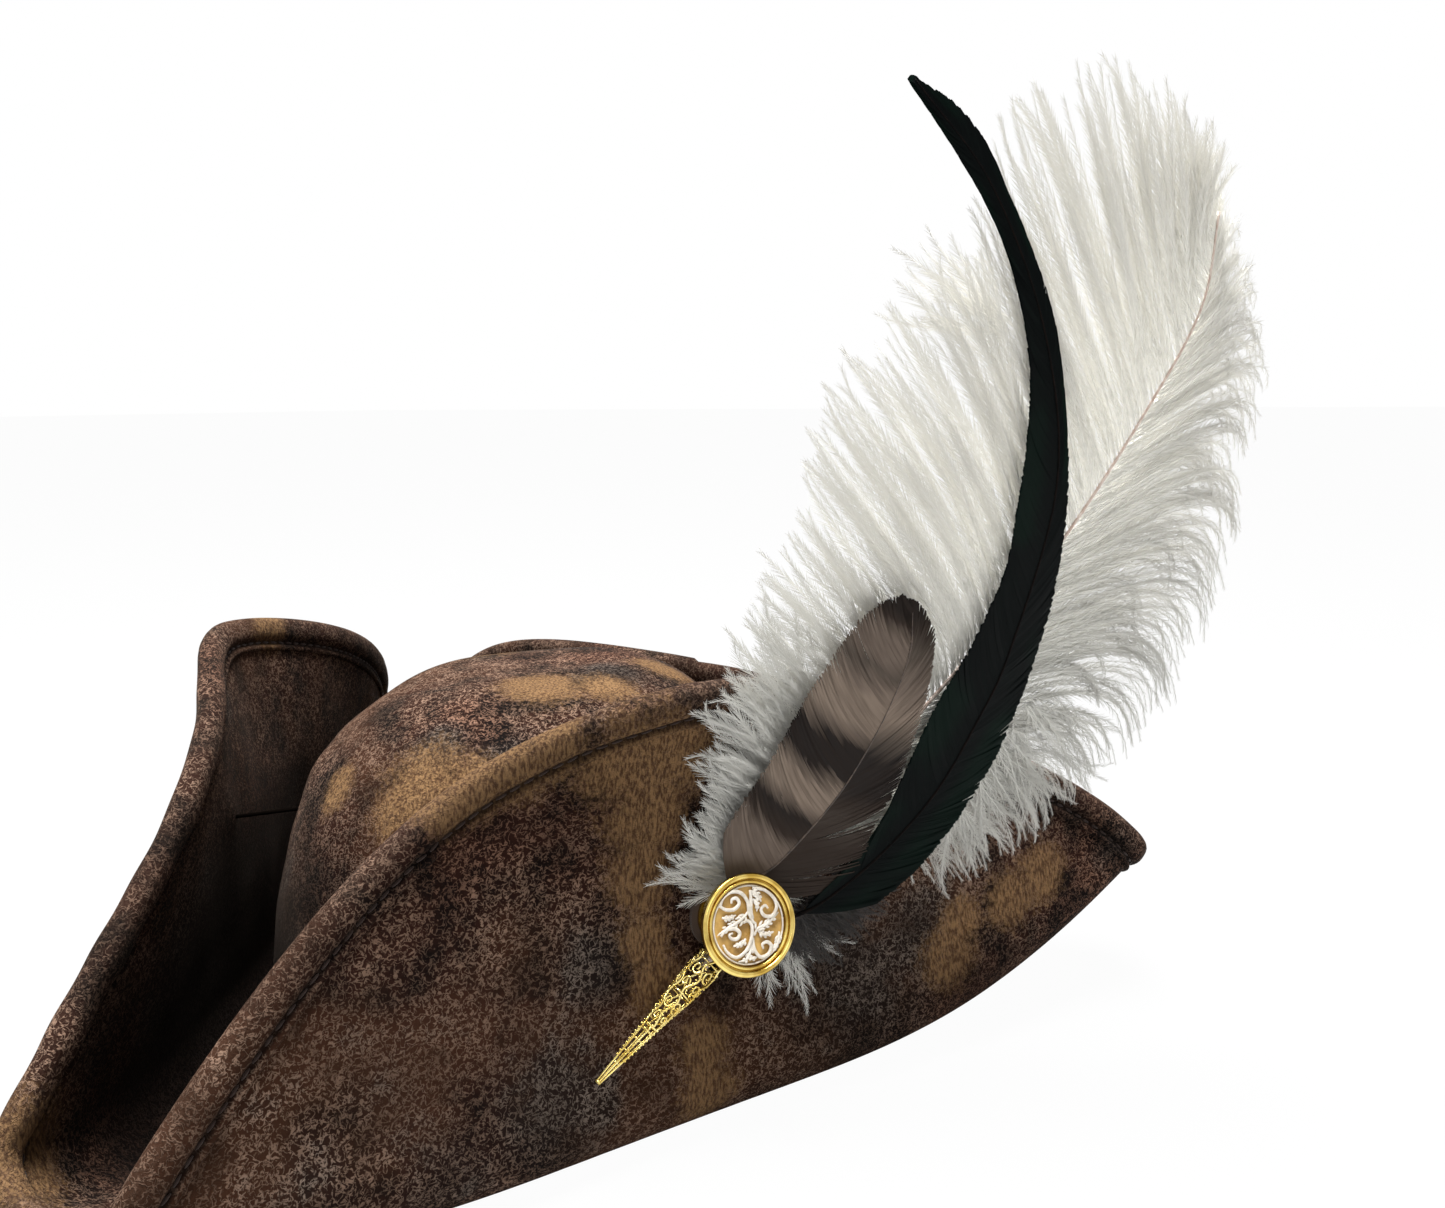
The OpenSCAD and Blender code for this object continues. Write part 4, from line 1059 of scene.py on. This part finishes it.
def vane_of_barbs():
    """Flat barbs side by side along a shaft, each a narrow ribbon from its root to the vane's edge."""
    n, given = growth_tree("vane_of_barbs", {"Barb Width": 0.0006, "Barb Bow": 0.07, "Tip Narrowing": 0.6})
    aim, facing, reach = n.read("aim", "FLOAT_VECTOR"), n.read("facing", "FLOAT_VECTOR"), n.read("reach")
    turn = n.aimed(aim, facing)
    size = n.joined(reach, given["Barb Width"], reach)
    across = n.read("across")
    arch = n.times(across, n.minus(1.0, across))
    aside = n.vector("CROSS_PRODUCT", facing, aim)
    both = n.add("GeometryNodeJoinGeometry")
    for side in (1.0, -1.0):
        strip, run, off = n.strip(9)
        strip = n.first("GeometryNodeStoreNamedAttribute", {"Geometry": strip, "Name": "across", "Value": run},
                        data_type="FLOAT", domain="POINT")
        narrow = n.times(off, n.minus(1.0, n.times(n.math("POWER", run, 4.0), given["Tip Narrowing"])))
        ribbon = n.moved(strip, Position=n.joined(run, narrow))
        chosen = n.math("GREATER_THAN", n.times(n.read("side"), side), 0.0)
        ribbons = n.copies(given["Geometry"], ribbon, turn, size, Selection=chosen)
        real = n.first("GeometryNodeRealizeInstances", {"Geometry": ribbons})
        bow = n.times(arch, n.times(given["Barb Bow"], 4.0 * side))
        n.link(n.moved(real, Offset=n.stretched(aside, n.times(bow, reach))), both.inputs[0])
    return n.close(both.outputs[0], given["Finish"])


vane_tree = vane_of_barbs()


def vane_points(name, line, start, edges, lead, count, droop, splits, seed, ragged, level_with_tip=False):
    """Barb roots along a shaft from a share of its length on, each aimed at its place on the vane's edge.

    A barb's tip lies as high as the shaft beside the tip, or as the shaft at the tip's share of the edge.
    """
    rng = np.random.default_rng(seed)
    rows = []
    t = (np.arange(count) + 0.5) / count
    root = along_line(line, shares=mix(start, 1, t))
    for side, edge in zip((1, -1), edges):
        place = np.clip(t + lead * (1 - 0.6 * t) + 0.004 * rng.normal(size=count), 0, 1)
        for where, width in splits[side]:
            place = place + width * np.tanh((t - where) / 0.004) * bell((t - where) / 0.05)
        place = np.clip(place, 0, 1)
        tip = along_line(smooth_line(edge), shares=place)
        level = (np.interp(tip[:, 0], line[:, 0], line[:, 2]) if level_with_tip
                 else along_line(line, shares=mix(start, 1, place))[:, 2])
        tip = np.column_stack([tip, level - droop * (0.8 + 0.4 * rng.random(count))])
        tip = mix(root, tip, (1 + ragged * rng.normal(size=count))[:, None])
        reach = np.maximum(0.4, np.linalg.norm(tip - root, axis=1))
        facing = spray_normal + side * np.array([0, 0.12, 0]) + 0.07 * rng.normal(size=(count, 3))
        rows.append({"aim": (tip - root) / reach[:, None], "facing": facing, "reach": reach * MM, "along": t,
                     "side": np.full(count, float(side))})
    fields = {key: np.concatenate([row[key] for row in rows]) for key in rows[0]}
    for key in ("aim", "facing"):
        fields[key] = unit(fields[key] @ spray_axes)
    return new_mesh(name, from_spray(np.concatenate([root, root])), [], [], fields)


# Places along each side's barbs where the vane parts, and how far
COQUE_SPLITS = {1: [(0.52, 0.003), (0.3, 0.003)], -1: [(0.16, 0.016), (0.24, 0.012), (0.4, 0.003)]}
BARRED_SPLITS = {1: [(0.62, 0.004)], -1: [(0.24, 0.026), (0.08, 0.026), (0.5, 0.005)]}
coque_roots = vane_points("coque_roots", coque_line, 0.085, (coque_left_edge, coque_right_edge), 0.085, 640, 1.2,
                          COQUE_SPLITS, 51, 0.008)
coque_vane = grown("coque_vane_barbs", coque_roots, vane_tree, barb_width=0.0015, barb_bow=0.05, tip_narrowing=0.35,
                   finish=coque)
settle(coque_vane, "brooch", "coque_vane")
barred_roots = vane_points("barred_roots", barred_line, 0.1, (barred_left_edge, barred_right_edge), 0.17, 380, 1.6,
                           BARRED_SPLITS, 61, 0.014, level_with_tip=True)
barred_vane = grown("barred_vane_barbs", barred_roots, vane_tree, barb_width=0.0009, barb_bow=0.05, tip_narrowing=0.6,
                    finish=barred)
settle(barred_vane, "brooch", "barred_vane")

# Button: turned metal, amber foil and pearl scrolls
BUTTON_LIFT, BUTTON_TURN, BUTTON_TILT = 12.6, 8, 15
c, s = cosd(-BUTTON_TURN), sind(-BUTTON_TURN)
button_turn = np.array([[c, 0, s], [0, 1, 0], [-s, 0, c]])
c, s = cosd(-BUTTON_TILT), sind(-BUTTON_TILT)
button_turn = button_turn @ np.array([[1, 0, 0], [0, c, -s], [0, s, c]])
UP, AXIS_FACE = np.array([0, 0, 1.0]), np.array([1.0, 0.02, 0.03])


def from_button(q):
    return brooch_origin + ((np.asarray(q, float) @ button_turn.T) + [0, 0, BUTTON_LIFT]) @ flap_axes


def lathe(name, profile, finish, node, sides=160):
    """A turned piece of the button. Its profile runs from the axis round to the axis, or meets itself."""
    profile = np.array(profile, float)
    solid = profile[0, 0] == 0
    t = np.arange(sides) * 2 * np.pi / sides
    body = profile[1:-1] if solid else profile
    points = np.concatenate([np.stack([r * np.cos(t), r * np.sin(t), np.full(sides, z)], -1) for r, z in body])
    faces = [*grid_faces(len(body), sides, not solid, True)]
    if solid:
        first, last = len(points), len(points) - sides
        points = np.concatenate([points, [[0, 0, profile[0, 1]], [0, 0, profile[-1, 1]]]])
        for k in range(sides):
            m = (k + 1) % sides
            faces += [[m, k, first], [last + k, last + m, first + 1]]
    return brooch_piece(name, from_button(points), faces, finish, node)


def arc(x, z, wide, high, turns):
    return [(x + wide * cosd(t), z + high * sind(t)) for t in turns]


lathe("button_cup_turned", [(0, 0), (11.6, 0), (12.6, 0.12), (13.4, 0.6), (13.9, 1.3), (13.95, 2.9), (13.2, 3.0),
                            (13.1, 0.9), (0, 0.8)], gold, "button_cup")
lathe("button_rim_turned", [(11.3, 3.0), (11.35, 3.3), *arc(11.95, 3.75, 0.45, 0.45, range(190, -11, -20)),
                            (12.45, 3.2), (12.65, 3.1), *arc(13.6, 3.8, 0.9, 0.85, range(205, -76, -14)),
                            (13.3, 3.0)], gold, "button_rim")
lathe("amber_foil_disc", [(0, 0.82), (12.9, 0.82), (13.0, 1.0), (13.0, 2.75), (12.6, 2.95), (9, 2.98), (5, 3.0),
                          (0, 3.0)], amber, "button_backing")


def stroke(flat, wide, narrow, lift=3.45):
    """A rounded stroke of pearl, widest near its middle."""
    t = np.linspace(0, 1, len(flat))
    radii = mix(narrow, wide, np.sin(np.pi * np.clip(t * 0.9 + 0.1, 0, 1)) ** 0.8)
    path = np.column_stack([flat, np.full(len(flat), lift) + 0.25 * np.sin(np.pi * t)])
    return tube(path, radii, 8, UP, 0.75)


def leaf(points, lobes, reach, steps=9):
    """An acanthus leaf: a curved rib with pairs of lobes that sweep towards its tip."""
    rib = along_line(smooth_line(points), 26)
    ahead = unit(np.gradient(rib, axis=0))
    parts = [stroke(rib, 0.5, 0.2)]
    for k in range(lobes):
        i = int(mix(3, 21, (k + 0.3) / lobes))
        for way in (1, -1):
            heading = turned(np.broadcast_to(ahead[i], (steps, 2)), way * mix(62, 8, np.linspace(0, 1, steps)))
            lobe = rib[i] + np.cumsum(heading, 0) * reach * (1 - 0.45 * k / lobes) / steps
            parts.append(stroke(lobe, 0.4, 0.12))
    return parts


# Traditional foliage scrolls: stems that end in volutes, and leaves with their lobe count and size
SCROLL_STEMS = [
    [(-8.2, 6.2), (-6.8, 8.8), (-4, 10), (-1.2, 9.1), (0.4, 6.4), (0.4, 3.4), (1.2, 1), (2.2, -0.2)],
    [(-8, 6.6), (-6.4, 5.4), (-4, 5.1), (-2.3, 6.3), (-2.8, 7.9), (-4.2, 7.9), (-4.5, 6.8)],
    [(-9, -1.5), (-7.3, -0.1), (-4.6, -0.2), (-3.3, -1.6), (-4.2, -3), (-5.9, -2.7), (-6.4, -1.6), (-5.3, -1.3)],
    [(-1.7, 1), (-0.1, 1.1), (0.8, -0.5), (0.4, -2.9), (-0.7, -5.3), (-2.6, -7.2), (-5.3, -8), (-7.7, -6.1),
     (-8.6, -3.9)],
    [(1.8, 9.4), (1.5, 6.4), (1.1, 3.6), (1.6, 1.4)],
    [(2.6, 9.8), (6.2, 8.6), (8.8, 5.8), (9.2, 3.2), (7.5, 1.2), (5.1, 1.6), (4.3, 3.4), (5.7, 4.4), (6.6, 3.4)],
    [(0.7, -3.7), (0.7, -7), (2.2, -9.4), (4.8, -9), (5.9, -7), (4.8, -5.7), (3.3, -6.1), (3.5, -7.4)]]
SCROLL_LEAVES = [
    ([(0.7, 4), (-1.1, 2.5), (-4, 1.1), (-6.8, 0.3), (-9.9, -1.1)], 5, 2.4),
    ([(0.4, -5.3), (-2, -9), (-4.8, -9.4)], 3, 1.8),
    ([(1.8, 9.2), (3.5, 8), (4.8, 5.6)], 3, 1.8), ([(1.2, -3.3), (2.6, -1.5), (5.7, -0.7), (9.7, 1.7)], 5, 2.3),
    ([(9.2, -3.7), (8.1, -6.6), (5.7, -9.4)], 4, 1.9), ([(-7.9, 3.4), (-6, 2.9), (-3.6, 3.4)], 3, 1.3),
    ([(-1.5, -3.6), (-2.8, -4.6), (-5.6, -4.9)], 3, 1.4), ([(2.6, -2.2), (4.4, -3.6), (7.4, -3.4)], 3, 1.5),
    ([(2.3, 6.8), (3.3, 5.4), (3.0, 3.2)], 3, 1.2), ([(-1.6, -8.4), (-0.2, -9.4), (1.2, -9.2)], 2, 1.0)]
RING_R, RING_Z, STEM_Z, OPENWORK_R = 10.85, 3.3, 3.55, 11.1


def scroll_openwork():
    """Pearl scrolls and leaves inside a thin ring."""
    t = np.linspace(0, 2 * np.pi, 97)
    ring = np.column_stack([RING_R * np.cos(t), RING_R * np.sin(t), np.full(len(t), RING_Z)])
    parts = [tube(ring, 0.28, 8, UP)]
    parts += [stroke(smooth_line(stem, 8), 0.56, 0.3, STEM_Z) for stem in SCROLL_STEMS]
    for leaf_shape in SCROLL_LEAVES:
        parts += leaf(*leaf_shape)
    points, faces = gathered(parts)
    outside = np.linalg.norm(points[:, :2], axis=1)
    points[:, :2] *= np.minimum(1, OPENWORK_R / np.maximum(outside, 0.01))[:, None]
    brooch_piece("scroll_openwork", from_button(points), faces, pearl, "button_openwork")


scroll_openwork()

# Filigree cone: wires, scrolls and beads on a cone
CONE_L, CONE_D, CONE_TIP, CONE_TURN = 46, 9.6, 1.1, -14.5
CONE_MOUTH = np.array([-13, -3, QUILL_Z + 0.6])
RIBS = np.arange(6) * np.pi / 3
WAIST = 0.55


def cone_radius(u):
    """Radius of the wires' middle line, just inside the cone's outer face."""
    return mix(CONE_D / 2 - 0.4, CONE_TIP - 0.5, u) + 0.35 * sind(180 * np.minimum(1, u * 2.2))


def on_cone(turn, u, out=0.0):
    """Points of the cone by angle and share of its length, in the brooch frame."""
    r = cone_radius(u) + out
    x, y, z = np.broadcast_arrays(-CONE_L * np.asarray(u, float), r * np.cos(turn), r * np.sin(turn))
    flat = turned(np.stack([x, y], -1), CONE_TURN)
    return CONE_MOUTH + np.concatenate([flat, z[..., None]], -1)


def cone_wires():
    """Hoops, straight ribs towards the tip, wavy ribs and scrolls towards the mouth, and cross wires."""
    parts, face = [], np.array([0.1, 0.2, 0.97])
    for u, r in ((0.008, 0.42), (0.045, 0.26), (0.29, 0.3), (WAIST, 0.34), (0.585, 0.26), (0.99, 0.36)):
        parts.append(tube(on_cone(np.linspace(0, 2 * np.pi, 41), u), r, 6, AXIS_FACE))
    for k, rib in enumerate(RIBS):
        parts.append(tube(on_cone(rib, np.linspace(WAIST, 1, 24)), np.linspace(0.34, 0.26, 24), 6, face))
        u = np.linspace(0, WAIST, 30)
        parts.append(tube(on_cone(rib + 0.2 * np.sin(u * 34 + 2 * k), u), 0.38, 6, face))
        for mid, size, way in ((0.11, 0.05, 1), (0.22, 0.042, -1), (0.37, 0.048, 1), (0.48, 0.036, -1)):
            t = np.linspace(0, 1, 26)
            r = size * 0.3 ** t
            a = way * (2 * np.pi * 1.15 * t) + k
            around = rib + np.pi / 6 + r * np.cos(a) * CONE_L / cone_radius(mid) * 0.72
            parts.append(tube(on_cone(around, mid + r * np.sin(a)), mix(0.38, 0.26, t), 6, face))
        for u in (0.66, 0.75, 0.84):
            parts.append(tube(on_cone(np.linspace(rib, rib + np.pi / 3, 8), u), 0.18, 5, AXIS_FACE))
    points, faces = gathered(parts)
    brooch_piece("filigree_wires", from_spray(points), faces, filigree_gold, "filigree_cone")


cone_wires()
bead_lines = [from_spray(on_cone(rib, np.linspace(0.06, 0.8, 20), 0.3)) for rib in RIBS]
cone_beads = grown("filigree_beads", path_mesh("bead_lines", bead_lines), bead_tree, pitch=0.0013, bead_length=0.0007,
                   bead_width=0.0007, uneven=0.05, seed=9, finish=filigree_gold)
settle(cone_beads, "brooch", "filigree_cone")

# Sooty down at the foot of the coque feather
down_tufts = [((28, -21), (41, -39)), ((24, -21), (31, -46)), ((20, -21), (24, -48)), ((16, -21), (18, -47)),
              ((13, -19), (12, -43)), ((10, -19), (6, -37)), ((8, -18), (2, -30)), ((37, -25), (50, -40)),
              ((22, -21), (28, -44)), ((18, -20), (21, -42)), ((30, -23), (36, -43))]
down = tuft_paths(down_tufts, 71, each=20)
down[..., 2] += 3.5
dark_down = grown("coque_down_barbs", barb_mesh("coque_down_lines", down, fluff=0.8, seed=72), barb_tree,
                  barb_radius=0.00014, barbule_length=0.005, barbule_width=0.0002, barbule_pitch=0.0008,
                  barbule_angle=0.3, seed=73, finish=down_dark)
settle(dark_down, "brooch", "coque_vane")

# Floor, light and camera
FLOOR_REACH, FLOOR_Z, FLOOR_WHITE = 20000, -0.4, 0.97
SKY_FILL, SKY_SEEN = 0.18, 1.0
WHITE = (1, 1, 1, 1)
floor_material, n = new_finish("pale_floor", Roughness=0.9, Specular_IOR_Level=0.1)
n.surface(Base_Color=n.blend(n.noise(n.place(), 3, 2), (0.45, 0.45, 0.45, 1), (0.48, 0.48, 0.48, 1)))
seen = n.add("ShaderNodeLightPath").outputs
lit = n.tree.nodes["Principled BSDF"].outputs[0]
white = n.first("ShaderNodeEmission", {"Color": WHITE, "Strength": 1.0})
both = n.first("ShaderNodeMixShader", {0: n.times(seen["Is Camera Ray"], FLOOR_WHITE), 1: lit, 2: white})
n.link(both, n.tree.nodes["Material Output"].inputs["Surface"])
corners = [(x * FLOOR_REACH, y * FLOOR_REACH, FLOOR_Z) for x, y in ((-1, -1), (1, -1), (1, 1), (-1, 1))]
floor = new_piece("floor", corners, [[0, 1, 2, 3]], floor_material, closed=False)

world = bpy.data.worlds.new("studio")
bpy.context.scene.world = world
world.use_nodes = True
n = Nodes(world.node_tree)
seen = n.add("ShaderNodeLightPath").outputs
direct = n.math("MAXIMUM", seen["Is Camera Ray"], seen["Is Glossy Ray"])
direct = n.math("MAXIMUM", direct, seen["Is Transmission Ray"])
background = n.tree.nodes["Background"].inputs
n.link(n.times(direct, SKY_SEEN - SKY_FILL, SKY_FILL), background["Strength"])
n.link(WHITE, background["Color"])


def stand(name, data, right, up, back, place):
    """A lamp or camera at a place in metres, looking away from its back."""
    thing = new_object(name, data)
    thing.matrix_world = Matrix(np.vstack([np.column_stack([right, up, back, place]), [0, 0, 0, 1]]).tolist())
    return thing


def softbox(name, place, aim, size, power):
    lamp = bpy.data.lights.new(name, "AREA")
    lamp.shape, lamp.size, lamp.energy = "DISK", size, power
    back = unit(np.array(place, float) - np.array(aim, float))
    right = unit(np.cross([0, 0, 1], back))
    stand(name, lamp, right, np.cross(back, right), back, place)


softbox("top_softbox", (-0.08, -0.1, 1.55), (0.02, 0, 0.1), size=1.0, power=90)
softbox("front_softbox", (1.1, -1.0, 1.1), (0.05, 0, 0.1), size=1.0, power=4)

camera = bpy.data.cameras.new("camera")
camera.sensor_fit, camera.sensor_width, camera.lens, camera.clip_start = "HORIZONTAL", 36, 29.6, 0.01
# The camera's axes and place, fitted to the photograph
CAMERA_RIGHT, CAMERA_UP = (0.873402, 0.48693, -0.00826), (-0.076253, 0.153486, 0.985204)
CAMERA_BACK, CAMERA_PLACE = (0.480994, -0.859849, 0.171185), np.array((255.574721, -323.011751, 215.973711))
bpy.context.scene.camera = stand("camera", camera, CAMERA_RIGHT, CAMERA_UP, CAMERA_BACK, CAMERA_PLACE * MM)
bpy.context.scene.view_settings.view_transform = "Standard"
